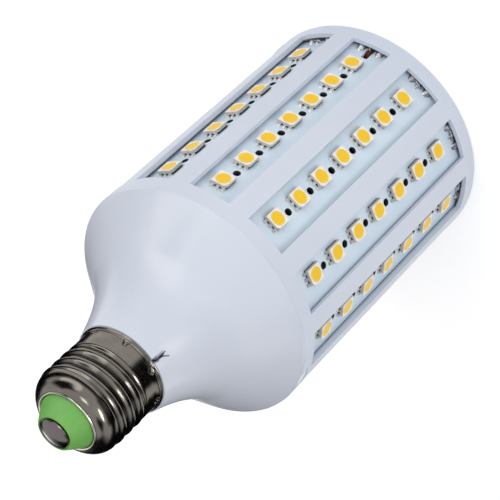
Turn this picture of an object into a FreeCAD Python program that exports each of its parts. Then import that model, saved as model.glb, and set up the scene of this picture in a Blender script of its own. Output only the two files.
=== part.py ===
import FreeCAD, Part
import math
import os

# Corn LED bulb with an E27 screw cap, in millimetres.
# It stands on its head: the origin is the centre of the head end's rim on the floor, and +Z runs to the cap.
# Window 1 faces -Y and the others follow it round +Z. Angles are in degrees from +X.
# Rounded stretches of the turned pieces are chains of short cones, and the thread is a chain of flats.

os.makedirs("parts", exist_ok=True)
Vector = FreeCAD.Vector

# General fits
slide_fit = 0.1       # between a board and the back of the slot that holds it
slot_front_gap = 0.3  # between a board and the front of its slot, seen as a dark line
plug_fit = 0.1        # between a spigot and its socket, on the radius
end_gap = 0.2         # at the end of a spigot or of a board
cut_past = 1.0        # how far a cutter runs past what it cuts
round_steps = 3       # short cones that make up each rounded stretch of a turned piece

# Cage: the white lattice housing
cage_radius = 36.3
cage_height = 90.5
cage_wall = 1.3
rib_width = 5.69      # straight across from one window's edge to the next, less the curve of the wall
window_sill = 5.3     # height of the windows' lower edge above the head end
window_lintel = 4.8   # from the windows' upper edge to the top of the cage
rail_width = 5.8
rail_back_wall = 1.3  # the rail's flange behind the boards
rail_top_gap = 2.7    # from a rail's top to the top of the cage
tab_width = 7.0
tab_height = 3.4
tab_fit = 0.2
tab_rib = 10          # the rib that carries the first snap tab; the second is opposite

# Strip boards
strip_count = 12
board_recess = 2.9    # from the cage's outer face in to a board's front face
board_thickness = 1.0
board_lip = 0.75      # how far a board reaches behind the rib on each side
strip_end_gap = 0.6   # from the end of a board to the neck cup's spigot
vent_width = 1.9      # vent holes between the packages, across their flats
vent_sides = 6
lead_notch_width = 2.0
lead_notch_depth = 4.6
notched_strip = 2     # the strip that the plus lead comes up through

# LED packages
led_pitch = 10.6
led_end_margin = 6.0  # least distance from the end of a board to the middle of a package
led_side = 5.0
led_height = 1.6
led_notch = 0.8
led_offset = 0.72     # the packages sit this far off the board's centre line

# End board
end_board_recess = 3.2
end_board_thickness = 1.0
end_board_gap = 0.3
outer_ring_count = 12
outer_ring_inset = 8.5                # from the cage's bore in to the ring
inner_ring_count = 6
inner_ring_radius = 12.5

# Solder joints between the strips and the end board
joint_offsets = (-2.9, 0.4, 3.0)
joint_width = 1.7
joint_height = 1.7
joint_depth = 1.0

# Neck cup: the glossy white base
cup_wall = 1.6
rim_inset = 0.15      # the cup's rim is this much smaller than the cage
rim_land = 0.5        # the upright edge of the rim, above the seam
shoulder_radius = 24.7
shoulder_height = 11.2             # above the seam, like the neck's height
neck_pull_radius = 17.6            # the bow's middle pole: where the shoulder and the neck would meet
neck_pull_height = 18.6
neck_radius = 14.0
neck_height = 31.8
cage_spigot_depth = 2.4
cap_spigot_length = 18.5
cap_spigot_bore = 10.5
guide_rib = 1.1       # thickness of the ribs that hold the driver board
guide_reach = 1.5     # how far they stand out of the spigot's bore
guide_root = 0.2      # how far they are rooted in its wall

# Screw shell, E27
shell_wall = 0.3
band_radius = 13.0
rim_radius = 13.6
rim_height = 2.6
rim_curl_radius = 13.2             # the flare is steep up to here and then runs out into the band
rim_curl_height = 1.0
band_height = 5.8     # rim and smooth band together
thread_root = 12.25
thread_crest = 13.2
thread_pitch = 3.629
thread_turns = 2.6
thread_base = 2.4     # width of the ridge at its root
thread_land = 0.9     # width of its crest
thread_lead_in = 7.1  # from the rim to the middle of the ridge where it starts
thread_start_angle = 102.0
thread_sides = 24     # flats in one turn of the ridge
thread_zone = 17.6    # from the rim to the knee
knee_body = 12.9
knee_radius = 5.0
lip_radius = 8.7
lip_width = 0.3
lip_gap = 0.1

# Insulator and centre contact
collar_radius = 7.9
collar_height = 0.9
cone_top_radius = 5.35
cone_height = 4.3
recess_radius = 5.0   # the shallow recess that the contact sits in
recess_depth = 0.5
flange_radius = 10.1
contact_radius = 4.5
contact_rim = 0.75
contact_dome = 1.3
stem_radius = 1.0
stem_length = 11.8

# Driver
driver_side_gap = 0.2 # between the board's edge and the cap spigot's bore
driver_length = 50.0
driver_thickness = 1.6
driver_top_gap = 3.2  # below the end of the cap spigot
film_side_gap = 2.3   # from the board's edge to the film capacitor
film_depth = 8.5
film_height = 14.0
part_end_gap = 2.0    # from the board's low end to the first parts
electrolytic_radius = 5.0
electrolytic_height = 13.0
electrolytic_side = -3.5
bridge_width = 8.4
bridge_depth = 3.2
bridge_height = 6.4
part_gap = 3.0        # between one part and the next along the board
resistor_radius = 1.2
resistor_length = 6.5
resistor_gap = 0.1
resistor_pitch = 4.0
fuse_side = 4.5

# Leads
bare_lead_radius = 0.3
insulated_lead_radius = 0.7
lead_sides = 8        # flats round a lead
lead_gap = 0.05
lead_clearance = 0.15
lead_edge_gap = 0.3   # from the driver board's edge to the minus lead
lead_start = 6.0      # height above the driver board's low end where plus and minus start
lead_drop = 0.6       # how far below the shell's rim the neutral lead passes under it
lead_rise = 12.5      # how far above the rim it starts
lead_side = 1.9       # from the driver board's face to where it starts
lead_slot_width = 1.0
live_run = 5.0        # how far down from the driver board's top the live lead starts
plus_side = 2.8       # from the driver board's edge to the plus lead
plus_bend_depth = 4.5 # behind the board that it comes up through
plus_bend_rise = 7.0
plus_reach = 0.9      # how far its end stands in front of the board
tail_angle = -107.0   # where the neutral lead's end sticks out over the neck
tail_length = 3.0

# Places that follow from the sizes above
step_angle = 360.0 / strip_count
window_width = 2 * cage_radius * math.sin(math.radians(step_angle / 2)) - rib_width
board_width = window_width + 2 * board_lip
cage_bore = cage_radius - cage_wall
end_board_top = end_board_recess + end_board_thickness
board_face = cage_radius - board_recess
board_back = board_face - board_thickness
rail_top = cage_height - rail_top_gap
seam = cage_height
cup_end = seam + neck_height
cage_plug = cage_bore - plug_fit
plug_low = seam - cage_spigot_depth
strip_top = plug_low - strip_end_gap
board_length = strip_top - end_board_top
led_rows = int((board_length - 2 * led_end_margin) / led_pitch) + 1
first_led = end_board_top + (board_length - (led_rows - 1) * led_pitch) / 2
driver_width = 2 * (cap_spigot_bore - driver_side_gap)
shell_rim = cup_end + slide_fit
spigot_end = cup_end + cap_spigot_length
band_bore = band_radius - shell_wall
thread_bore = thread_root - shell_wall
knee_base = shell_rim + thread_zone
knee_middle = knee_body - knee_radius
lip_angle = math.degrees(math.acos((lip_radius - knee_middle) / knee_radius))
shell_end = knee_base + knee_radius * math.sin(math.radians(lip_angle))
lip_under = shell_end - shell_wall
knee_bore = knee_body - shell_wall
knee_step = knee_base + shell_wall
band_step = shell_rim + band_height - shell_wall
cone_base = shell_end + collar_height
cone_end = cone_base + cone_height
seat = cone_end - recess_depth


def turned(shape, angle):
    """The shape turned about the bulb's axis."""
    copy = shape.copy()
    copy.rotate(Vector(0, 0, 0), Vector(0, 0, 1), angle)
    return copy


def block(x0, x1, y0, y1, z0, z1):
    """A box between the given limits."""
    return Part.makeBox(x1 - x0, y1 - y0, z1 - z0, Vector(x0, y0, z0))


def revolved(points):
    """A closed outline of (radius, height) points turned round the axis."""
    corners = []
    for radius, height in list(points) + [points[0]]:
        corners.append(Vector(radius, 0, height))
    face = Part.Face(Part.makePolygon(corners))
    return face.revolve(Vector(0, 0, 0), Vector(0, 0, 1), 360)


def arc_points(middle, base, radius, first, last):
    """Points on a circle about (middle, base), from one angle to another, both ends included."""
    points = []
    for step in range(round_steps + 1):
        angle = math.radians(first + (last - first) * step / round_steps)
        points.append((middle + radius * math.cos(angle), base + radius * math.sin(angle)))
    return points


def bow_points(start, pull, end):
    """Points on a bow from start to end that leaves and arrives along the lines to the pull point."""
    points = []
    for step in range(round_steps + 1):
        t = step / round_steps
        pair = []
        for axis in (0, 1):
            pair.append((1 - t) ** 2 * start[axis] + 2 * t * (1 - t) * pull[axis] + t ** 2 * end[axis])
        points.append(tuple(pair))
    return points


def strip_angle(number):
    """Direction that a strip faces: strip 1 faces -Y."""
    return -90.0 + (number - 1) * step_angle


def save(shape, name):
    shape.exportStep("parts/" + name + ".step")
    print(name, "solids", len(shape.Solids), "volume %.1f" % shape.Volume, "valid", shape.isValid())


def lead(points, radius, name):
    """A lead along straight runs, with an arc as large as both runs allow at each point between them."""
    edges = []
    start = points[0]
    for before, point, after in zip(points, points[1:], points[2:]):
        back = (before - point).normalize()
        ahead = (after - point).normalize()
        turn = math.pi - back.getAngle(ahead)
        shorter = min((before - point).Length, (after - point).Length)
        reach = 0.45 * shorter
        bend = reach / math.tan(turn / 2)
        centre_line = (back + ahead).normalize()
        centre = point + centre_line * (bend / math.cos(turn / 2))
        first = point + back * reach
        last = point + ahead * reach
        middle = centre - centre_line * bend
        edges.append(Part.LineSegment(start, first).toShape())
        edges.append(Part.Arc(first, middle, last).toShape())
        start = last
        print(name, "bend radius %.2f" % bend)
    edges.append(Part.LineSegment(start, points[-1]).toShape())
    path = Part.Wire(edges)
    section = ring_of_sides(points[0], (points[1] - points[0]).normalize(), radius, lead_sides)
    solid = path.makePipeShell([section], True, False)
    length = path.Length
    ratio = solid.Volume / (Part.Face(section).Area * length)
    print(name, "length %.1f" % length, "volume ratio %.3f" % ratio)
    return solid


def ring_of_sides(middle, axis, radius, sides):
    """A closed polygon with its corners on a circle square to the axis."""
    across = axis.cross(Vector(0, 0, 1) if abs(axis.z) < 0.9 else Vector(1, 0, 0)).normalize()
    along = axis.cross(across)
    corners = []
    for side in range(sides + 1):
        angle = 2 * math.pi * side / sides
        corners.append(middle + across * (radius * math.cos(angle)) + along * (radius * math.sin(angle)))
    return Part.makePolygon(corners)


def make_cage():
    """A turned wall with one window for each strip, and a T rail behind each rib that holds two boards."""
    wall = revolved([
        (cage_bore, 0),
        (cage_radius, 0),
        (cage_radius, cage_height),
        (cage_bore, cage_height),
    ])
    rail_back = board_back - slide_fit - rail_back_wall
    rail = block(rail_back, cage_bore + cage_wall / 2, -rail_width / 2, rail_width / 2, end_board_top, rail_top)
    slot = block(board_back - slide_fit, board_face + slot_front_gap, -board_width / 2 - slide_fit,
                 board_width / 2 + slide_fit, end_board_top - cut_past, rail_top + cut_past)
    window = block(board_back, cage_radius + cut_past, -window_width / 2, window_width / 2,
                   window_sill, cage_height - window_lintel)
    rails = []
    cuts = []
    for number in range(1, strip_count + 1):
        angle = strip_angle(number)
        rails.append(turned(rail, angle + step_angle / 2))
        cuts.append(turned(slot, angle))
        cuts.append(turned(window, angle))
    for angle in tab_angles():
        notch = block(cage_bore - 2 * tab_fit, cage_radius + cut_past, -tab_width / 2, tab_width / 2,
                      seam - tab_height, seam + cut_past)
        cuts.append(turned(notch, angle))
    return wall.multiFuse(rails).cut(cuts).removeSplitter()


def tab_angles():
    """Directions of the two opposite snap tabs, each on the middle of a rib."""
    first = strip_angle(tab_rib) + step_angle / 2
    return (first, first + 180.0)


def make_strip_board(number):
    """A plain bar of laminate with a row of vents on its centre line, one between each two packages."""
    board = block(board_back, board_face, -board_width / 2, board_width / 2, end_board_top, strip_top)
    vents = []
    for row in range(led_rows - 1):
        height = first_led + (row + 0.5) * led_pitch
        vents.append(vent(height))
    board = board.cut(vents)
    if number == notched_strip:
        notch = block(board_back - cut_past, board_face + cut_past, -lead_notch_width / 2, lead_notch_width / 2,
                      end_board_top - cut_past, end_board_top + lead_notch_depth)
        board = board.cut(notch)
    return turned(board, strip_angle(number))


def vent(height):
    """The cutter of one vent hole, a low-sided round bore through the board."""
    corner = vent_width / 2 / math.cos(math.pi / vent_sides)
    points = []
    for side in range(vent_sides + 1):
        angle = 2 * math.pi * (side + 0.5) / vent_sides
        points.append(Vector(board_back - cut_past, corner * math.cos(angle), height + corner * math.sin(angle)))
    return Part.Face(Part.makePolygon(points)).extrude(Vector(board_thickness + 2 * cut_past, 0, 0))


def led_package():
    """One package lying on the XY plane, its marked corner cut off."""
    half = led_side / 2
    outline = [
        Vector(-half, -half, 0),
        Vector(half, -half, 0),
        Vector(half, half, 0),
        Vector(-half + led_notch, half, 0),
        Vector(-half, half - led_notch, 0),
        Vector(-half, -half, 0),
    ]
    return Part.Face(Part.makePolygon(outline)).extrude(Vector(0, 0, led_height))


def make_strip_leds(number):
    """The row of packages on one strip, each standing on the board's front face."""
    package = led_package()
    package.rotate(Vector(0, 0, 0), Vector(0, 1, 0), 90)
    package.translate(Vector(board_face, led_offset, first_led))
    row = []
    for index in range(led_rows):
        copy = package.copy()
        copy.translate(Vector(0, 0, index * led_pitch))
        row.append(turned(copy, strip_angle(number)))
    return Part.makeCompound(row)


def make_end_board():
    """The round board in the head end, against the ends of the rails and of the strips."""
    return Part.makeCylinder(cage_bore - end_board_gap, end_board_thickness, Vector(0, 0, end_board_recess))


def make_end_leds():
    """Two rings of packages on the outer face of the end board."""
    packages = []
    rings = (
        (outer_ring_count, cage_bore - outer_ring_inset),
        (inner_ring_count, inner_ring_radius),
    )
    for count, radius in rings:
        package = led_package()
        package.rotate(Vector(0, 0, 0), Vector(1, 0, 0), 180)
        package.translate(Vector(radius, 0, end_board_recess))
        for index in range(count):
            packages.append(turned(package, index * 360.0 / count))
    return Part.makeCompound(packages)


def make_solder_joints():
    """Wedges of solder in the corner between each strip's front and the end board."""
    joints = []
    for number in range(1, strip_count + 1):
        for offset in joint_offsets:
            if number == notched_strip and abs(offset) < lead_notch_width / 2:
                continue
            outline = [
                Vector(board_face, offset - joint_width / 2, end_board_top),
                Vector(board_face + joint_depth, offset - joint_width / 2, end_board_top),
                Vector(board_face, offset - joint_width / 2, end_board_top + joint_height),
                Vector(board_face, offset - joint_width / 2, end_board_top),
            ]
            wedge = Part.Face(Part.makePolygon(outline)).extrude(Vector(0, joint_width, 0))
            joints.append(turned(wedge, strip_angle(number)))
    return Part.makeCompound(joints)


def neck_bow():
    """The bow of the neck's outside, from the shoulder to the cup's end."""
    shoulder = (shoulder_radius, seam + shoulder_height)
    pull = (neck_pull_radius, seam + neck_pull_height)
    return bow_points(shoulder, pull, (neck_radius, cup_end))


def make_neck_cup():
    """The turned cup: a rim on the seam, a 45 degree shoulder, a bowed neck, and a spigot at each end."""
    slant = cup_wall / math.cos(math.radians(45))
    rim = cage_radius - rim_inset
    plug_bore = cage_plug - cup_wall
    band_plug = band_bore - plug_fit
    thread_plug = thread_bore - plug_fit
    step = band_step - end_gap
    outline = [
        (plug_bore, plug_low),
        (cage_plug, plug_low),
        (cage_plug, seam),
        (rim, seam),
        (rim, seam + rim_land),
    ]
    outline += neck_bow()
    outline += [
        (band_plug, cup_end),
        (band_plug, step),
        (thread_plug, step),
        (thread_plug, spigot_end),
        (cap_spigot_bore, spigot_end),
        (cap_spigot_bore, cup_end),
        (shoulder_radius - slant, seam + shoulder_height),
        (plug_bore, seam + rim_land),
    ]
    body = revolved(outline)
    half = tab_width / 2 - tab_fit
    face = cage_radius - tab_fit
    tab = block(cage_bore + tab_fit / 2, face, -half, half, seam - tab_height + tab_fit, seam + rim_land / 2)
    root = block(cage_plug - cup_wall / 2, face, -half, half, plug_low, seam + rim_land / 2)
    added = []
    for angle in tab_angles():
        added.append(turned(tab.fuse(root), angle))
    near = driver_thickness / 2 + slide_fit
    for side in (0, 180):
        for low in (near, -near - guide_rib):
            rib = block(cap_spigot_bore - guide_reach, cap_spigot_bore + guide_root, low, low + guide_rib,
                        cup_end, spigot_end)
            added.append(turned(rib, side))
    slot = block(cap_spigot_bore - guide_reach, rim_radius + cut_past, -lead_slot_width / 2, lead_slot_width / 2,
                 shell_rim - lead_drop - 2 * bare_lead_radius, shell_rim + band_height)
    return body.multiFuse(added).cut(turned(slot, tail_angle)).removeSplitter()


def make_screw_shell():
    """The rolled E27 shell: flared rim, smooth band, a right-hand ridge for the thread, knee and lip."""
    band_top = shell_rim + band_height
    outline = [
        (band_bore, shell_rim),
        (rim_radius, shell_rim),
        (rim_curl_radius, shell_rim + rim_curl_height),
        (band_radius, shell_rim + rim_height),
        (band_radius, band_top),
        (thread_bore + shell_wall / 2, band_top),
        (thread_bore + shell_wall / 2, knee_base),
    ]
    outline += arc_points(knee_middle, knee_base, knee_radius, 0, lip_angle)
    outline += [
        (lip_radius - lip_width, shell_end),
        (lip_radius - lip_width, lip_under),
        (knee_bore, knee_step),
        (thread_bore, knee_step),
        (thread_bore, band_step),
        (band_bore, band_step),
    ]
    axis = Vector(0, 0, 1)
    root = Part.Face(ring_of_sides(Vector(0, 0, band_step), axis, thread_root, thread_sides))
    sleeve = turned(root.extrude(axis * (knee_step - band_step)), thread_start_angle)
    sleeve = sleeve.cut(Part.makeCylinder(thread_bore, knee_step - band_step, Vector(0, 0, band_step)))
    return revolved(outline).multiFuse([sleeve, make_thread()])


def make_thread():
    """The ridge of the right-hand thread, its section carried round in short flats."""
    base = thread_root
    outline = (
        (base, -thread_base / 2),
        (thread_crest, -thread_land / 2),
        (thread_crest, thread_land / 2),
        (base, thread_base / 2),
    )
    sections = []
    for index in range(round(thread_turns * thread_sides) + 1):
        turns = index / thread_sides
        middle = shell_rim + thread_lead_in + thread_pitch * turns
        corners = []
        for radius, offset in outline:
            corners.append(polar(radius, thread_start_angle + 360 * turns, middle + offset))
        sections.append(corners)
    faces = [flat(sections[0]), flat(sections[-1])]
    for here, there in zip(sections, sections[1:]):
        for side in range(len(outline)):
            after = (side + 1) % len(outline)
            faces.append(flat([here[side], here[after], there[after]]))
            faces.append(flat([here[side], there[after], there[side]]))
    skin = Part.Shell(faces)
    skin.sewShape()
    ridge = Part.Solid(skin)
    if ridge.Volume < 0:
        ridge.reverse()
    return ridge


def flat(corners):
    """A plane face with the given corners."""
    return Part.Face(Part.makePolygon(corners + [corners[0]]))


def make_insulator():
    """The green plug: a flange held under the shell's lip, a collar, a cone, and the contact's recess and hole."""
    hole = stem_radius + slide_fit
    lip_edge = lip_radius - lip_width
    share = (knee_bore - flange_radius) / (knee_bore - lip_edge)
    flange_top = knee_step + share * (lip_under - knee_step) - slide_fit
    flange_low = spigot_end + slide_fit
    return revolved([
        (hole, flange_low),
        (flange_radius, flange_low),
        (flange_radius, flange_top),
        (lip_edge - lip_gap, flange_top),
        (lip_edge - lip_gap, shell_end),
        (collar_radius, cone_base),
        (cone_top_radius, cone_end),
        (recess_radius, cone_end),
        (recess_radius, seat),
        (hole, seat),
    ])


def make_contact():
    """The centre contact: a shallow domed button in the cone's recess, with a riveted stem through it."""
    dome_radius = (contact_radius ** 2 + contact_dome ** 2) / (2 * contact_dome)
    middle = seat + contact_rim + contact_dome - dome_radius
    first = math.degrees(math.acos(contact_radius / dome_radius))
    outline = [
        (0, seat - stem_length),
        (stem_radius, seat - stem_length),
        (stem_radius, seat),
        (contact_radius, seat),
    ]
    outline += arc_points(0, middle, dome_radius, first, 90)
    return revolved(outline)


def make_driver():
    """The driver board, standing on edge in the spigot's guide ribs, and what is soldered to it."""
    top = spigot_end - driver_top_gap
    low = top - driver_length
    half = driver_thickness / 2
    board = block(-driver_width / 2, driver_width / 2, -half, half, low, top)
    first = low + part_end_gap
    wide = driver_width - 2 * film_side_gap
    film = block(-wide / 2, wide / 2, half, half + film_depth, first, first + film_height)
    can_height = first + electrolytic_radius
    can_start = Vector(electrolytic_side, -half, can_height)
    can = Part.makeCylinder(electrolytic_radius, electrolytic_height, can_start, Vector(0, -1, 0))
    bridge_low = first + film_height + part_gap
    bridge_top = bridge_low + bridge_height
    bridge = block(-bridge_width / 2, bridge_width / 2, half, half + bridge_depth, bridge_low, bridge_top)
    depth = half + resistor_gap + resistor_radius
    bleed_low = can_height + electrolytic_radius + part_gap + resistor_radius
    bleed = []
    for height in (bleed_low, bleed_low + resistor_pitch):
        start = Vector(-resistor_length / 2, -depth, height)
        bleed.append(Part.makeCylinder(resistor_radius, resistor_length, start, Vector(1, 0, 0)))
    fuse_start = Vector(fuse_side, depth, bridge_top + part_gap)
    fuse = Part.makeCylinder(resistor_radius, resistor_length, fuse_start, Vector(0, 0, 1))
    save(board, "driver_board")
    save(film, "film_capacitor")
    save(can, "smoothing_capacitor")
    save(bridge, "bridge_rectifier")
    save(Part.makeCompound(bleed), "bleed_resistors")
    save(fuse, "fuse_resistor")
    return low, top


def make_leads(driver_low, driver_top):
    """The four leads: live to the contact, neutral out over the shell's rim, plus and minus to the strips."""
    face = driver_thickness / 2
    thick = insulated_lead_radius
    reach = face + thick
    beside = stem_radius + thick + lead_gap
    live = [Vector(0, beside, driver_top - live_run), Vector(0, beside, spigot_end - end_gap)]
    save(lead(live, thick, "live_lead"), "live_lead")

    wire = bare_lead_radius
    under = shell_rim - lead_drop
    bow = neck_bow()
    slope = (bow[-2][0] - bow[-1][0]) / (bow[-1][1] - bow[-2][1])
    outside = neck_radius + slope * (cup_end - under) + wire + lead_clearance
    neutral = [
        polar(face + lead_side, tail_angle, shell_rim + lead_rise),
        polar(band_bore - lead_clearance, tail_angle, under),
        polar(outside, tail_angle, under),
        polar(outside + slope * tail_length, tail_angle, under - tail_length),
    ]
    save(lead(neutral, wire, "neutral_lead"), "neutral_lead")

    angle = strip_angle(notched_strip)
    exit_height = end_board_top + 2 * thick
    plus = [
        Vector(driver_width / 2 - plus_side, -reach, driver_low + lead_start),
        polar(board_back - plus_bend_depth, angle, exit_height + plus_bend_rise),
        polar(board_face + plus_reach, angle, exit_height),
    ]
    save(lead(plus, thick, "plus_lead"), "plus_lead")
    minus_side = -driver_width / 2 + thick + lead_edge_gap
    minus = [
        Vector(minus_side, reach, driver_low + lead_start),
        Vector(minus_side, reach, end_board_top),
    ]
    save(lead(minus, thick, "minus_lead"), "minus_lead")


def polar(radius, angle, height):
    """A point by its distance from the axis, direction and height."""
    turn = math.radians(angle)
    return Vector(radius * math.cos(turn), radius * math.sin(turn), height)


save(make_cage(), "cage")
for strip in range(1, strip_count + 1):
    save(make_strip_board(strip), "strip_board_%02d" % strip)
    save(make_strip_leds(strip), "strip_leds_%02d" % strip)
save(make_end_board(), "end_board")
save(make_end_leds(), "end_leds")
save(make_solder_joints(), "solder_joints")
save(make_neck_cup(), "neck_cup")
save(make_screw_shell(), "screw_shell")
save(make_insulator(), "cap_insulator")
save(make_contact(), "centre_contact")
low_end, top_end = make_driver()
make_leads(low_end, top_end)
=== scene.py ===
# %% [markdown]
# # Corn LED bulb
# The bulb stands on its head with the screw cap up, exactly where its solid model has it. This lesson
# dresses that model: smooth mouldings in place of faceted ones, a rounded thread, LED packages with their
# phosphor and leads, and a finish for every surface. All sizes here are in millimetres and become metres
# when a mesh is made.

# %% Load the solid model
import math

import bmesh
import bpy
import mathutils
import numpy as np
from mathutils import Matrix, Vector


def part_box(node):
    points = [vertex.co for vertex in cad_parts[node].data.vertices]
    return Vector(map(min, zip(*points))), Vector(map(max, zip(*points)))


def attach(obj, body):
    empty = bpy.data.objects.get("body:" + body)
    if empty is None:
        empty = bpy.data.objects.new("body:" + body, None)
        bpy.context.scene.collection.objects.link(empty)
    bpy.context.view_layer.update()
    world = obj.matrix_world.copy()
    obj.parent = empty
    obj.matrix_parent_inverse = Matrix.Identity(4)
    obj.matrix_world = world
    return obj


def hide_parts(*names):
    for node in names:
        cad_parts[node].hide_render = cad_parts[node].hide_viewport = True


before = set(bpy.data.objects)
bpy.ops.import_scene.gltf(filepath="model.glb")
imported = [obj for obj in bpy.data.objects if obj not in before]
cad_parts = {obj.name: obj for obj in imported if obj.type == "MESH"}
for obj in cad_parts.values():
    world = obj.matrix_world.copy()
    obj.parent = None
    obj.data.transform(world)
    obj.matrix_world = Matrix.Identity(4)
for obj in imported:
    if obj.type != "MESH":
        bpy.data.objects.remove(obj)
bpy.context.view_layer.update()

mm = 0.001


# %% [markdown]
# ## Sizes from the solid model
# A dressed piece must sit where the solid one is, so most sizes are read from the boxes of the solids.
# What a box can't tell, such as a wall or a rounding, is a named value next to the piece that uses it.

# %% Read the main sizes
def low_high(node):
    """Lowest and highest corner of a solid, in millimetres."""
    low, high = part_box(node)
    return np.array(low) / mm, np.array(high) / mm


strip_count = 12
step_angle = 360.0 / strip_count
cage_radius, _, seam = low_high("cage")[1]
(_, front, board_low), (board_half, back, board_high) = low_high("strip_board_01")
board_face, board_back = -front, -back
(_, _, end_board_low), (end_board_radius, _, end_board_top) = low_high("end_board")
package_low, package_high = low_high("strip_leds_01")
led_side = package_high[0] - package_low[0]
led_height = package_high[1] - package_low[1]
led_offset = (package_high[0] + package_low[0]) / 2
led_rows = 7
led_pitch = (package_high[2] - package_low[2] - led_side) / (led_rows - 1)
first_led = package_low[2] + led_side / 2
last_led = first_led + (led_rows - 1) * led_pitch
(_, _, shell_rim), (rim_radius, _, shell_end) = low_high("screw_shell")
(_, _, cup_low), (_, _, spigot_end) = low_high("neck_cup")
contact_top = low_high("centre_contact")[1][2]
cone_end = low_high("cap_insulator")[1][2]
print("cage radius %.2f, seam %.2f, led pitch %.2f, shell %.1f to %.1f"
      % (cage_radius, seam, led_pitch, shell_rim, shell_end))


# %% [markdown]
# ## Surfaces as grids of points
# Every new piece is a grid of points worked out at once as whole arrays: a function of two parameters, or
# an outline carried along a path. A grid of rows and columns needs only one rule for its faces, so the
# same few helpers make the cage, the cup, the thread and the leads.

# %% Grid helpers
def grid_faces(rows, columns, close_rows=False, close_columns=False):
    """Corner numbers of a grid's four-sided faces: a point, the next in its row, and the two above them."""
    row = np.arange(rows if close_rows else rows - 1)
    column = np.arange(columns if close_columns else columns - 1)
    row, column = np.meshgrid(row, column, indexing="ij")
    above = (row + 1) % rows
    beside = (column + 1) % columns
    low, high = row * columns, above * columns
    return np.stack([low + column, low + beside, high + beside, high + column], -1).reshape(-1, 4)


def turned(points, angle):
    """Points turned about the bulb's axis: x cos a - y sin a, and x sin a + y cos a."""
    turn = np.radians(angle)
    x, y, z = points[..., 0], points[..., 1], points[..., 2]
    return np.stack([x * np.cos(turn) - y * np.sin(turn), x * np.sin(turn) + y * np.cos(turn), z], -1)


def polar(radius, angle, height):
    """Points by their distance from the axis, direction in degrees, and height."""
    radius, angle, height = np.broadcast_arrays(radius, np.radians(angle), height)
    return np.stack([radius * np.cos(angle), radius * np.sin(angle), height * 1.0], -1)


def strip_angle(number):
    """Direction that a strip faces. Strip 1 faces -Y."""
    return -90.0 + (number - 1) * step_angle


def turn_from(angle, mark):
    """How far a direction is from a mark, from -180 to 180 degrees."""
    return (angle - mark + 180) % 360 - 180


def lifted(flat, height):
    """Flat points with one height for all of them."""
    return np.column_stack([flat, np.full(len(flat), height)])


def smooth_step(value, start, end):
    """0 before start, 1 after end, and 3t^2 - 2t^3 between."""
    t = np.clip((value - start) / (end - start), 0, 1)
    return t * t * (3 - 2 * t)


print("a grid of 3 by 4 points has", len(grid_faces(3, 4)), "faces")


# %% [markdown]
# A turned or bent part needs an outline or a path. An outline gets its corners rounded and is then carried
# round the axis or pushed along a straight line. A path carries a circle, which makes a wire.

# %% Outlines and paths
def rounded(corners, steps=5):
    """An outline of (x, y, rounding). Each corner becomes a bow that starts and ends that far from it."""
    outline = []
    for index, (x, y, rounding) in enumerate(corners):
        here = np.array([x, y])
        if rounding == 0:
            outline.append(here[None])
            continue
        before = np.array(corners[index - 1][:2]) - here
        after = np.array(corners[(index + 1) % len(corners)][:2]) - here
        start = here + before / np.linalg.norm(before) * rounding
        end = here + after / np.linalg.norm(after) * rounding
        t = np.linspace(0, 1, steps)[:, None]
        outline.append((1 - t) ** 2 * start + 2 * t * (1 - t) * here + t ** 2 * end)
    return np.concatenate(outline)


def revolved(outline, steps, closed=True):
    """An outline of (radius, height) carried round the axis: each point becomes a ring. An outline that runs
    from the axis back to the axis isn't closed."""
    angles = np.arange(steps) * 360.0 / steps
    points = polar(outline[:, :1], angles[None], outline[:, 1:])
    return points.reshape(-1, 3), grid_faces(len(outline), steps, closed, True).tolist()


def extruded(outline, offset):
    """A closed outline of 3-D points and a copy moved by offset, with sides between and both ends closed."""
    outline = np.asarray(outline, float)
    count = len(outline)
    points = np.concatenate([outline, outline + np.asarray(offset, float)])
    faces = grid_faces(2, count, close_columns=True).tolist()
    faces += [list(range(count))[::-1], list(range(count, 2 * count))]
    return points, faces


def tube(path, radius, sides, flatten=1.0):
    """A circle carried along a path. Its plane is square to the path and set out from a fixed direction."""
    path = np.asarray(path, float)
    along = np.gradient(path, axis=0)
    along /= np.linalg.norm(along, axis=1, keepdims=True)
    upright = abs(along[:, 2]).mean() >= 0.7
    reference = np.array([0.94, 0.31, 0.17] if upright else [0.31, 0.17, 0.94])
    side = np.cross(along, reference)
    side /= np.linalg.norm(side, axis=1, keepdims=True)
    other = np.cross(along, side)
    angle = np.linspace(0, 2 * np.pi, sides, endpoint=False)
    cosine, sine = np.cos(angle)[None, :, None], np.sin(angle)[None, :, None]
    ring = cosine * side[:, None] + flatten * sine * other[:, None]
    radius = np.broadcast_to(radius, len(path))
    points = (path[:, None] + ring * radius[:, None, None]).reshape(-1, 3)
    faces = grid_faces(len(path), sides, close_columns=True).tolist()
    faces += [list(range(sides)), list(range(len(points) - sides, len(points)))[::-1]]
    return points, faces


def bowed(points, count):
    """A smooth path through a few points: a Catmull-Rom curve, worked out for all its steps at once."""
    points = np.asarray(points, float)
    padded = np.concatenate([[2 * points[0] - points[1]], points, [2 * points[-1] - points[-2]]])
    place = np.linspace(0, len(points) - 1 - 1e-9, count)
    piece = place.astype(int)
    t = (place - piece)[:, None]
    a, b, c, d = (padded[piece + shift] for shift in range(4))
    square, cube = 2 * a - 5 * b + 4 * c - d, 3 * b - a - 3 * c + d
    return 0.5 * (2 * b + (c - a) * t + square * t ** 2 + cube * t ** 3)


def route(places, count):
    """A smooth path through places given by their distance from the axis, direction and height."""
    return bowed([polar(*place) for place in places], count)


print("a wire of 12 steps has", len(tube(bowed([(0, 0, 0), (1, 0, 1), (2, 0, 0)], 12), 0.1, 8)[1]), "faces")


# %% [markdown]
# A thin wall is two such grids, a front and a back. Leaving out cells makes windows and notches, and a side
# face closes the wall at every border of a missing cell.

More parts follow.
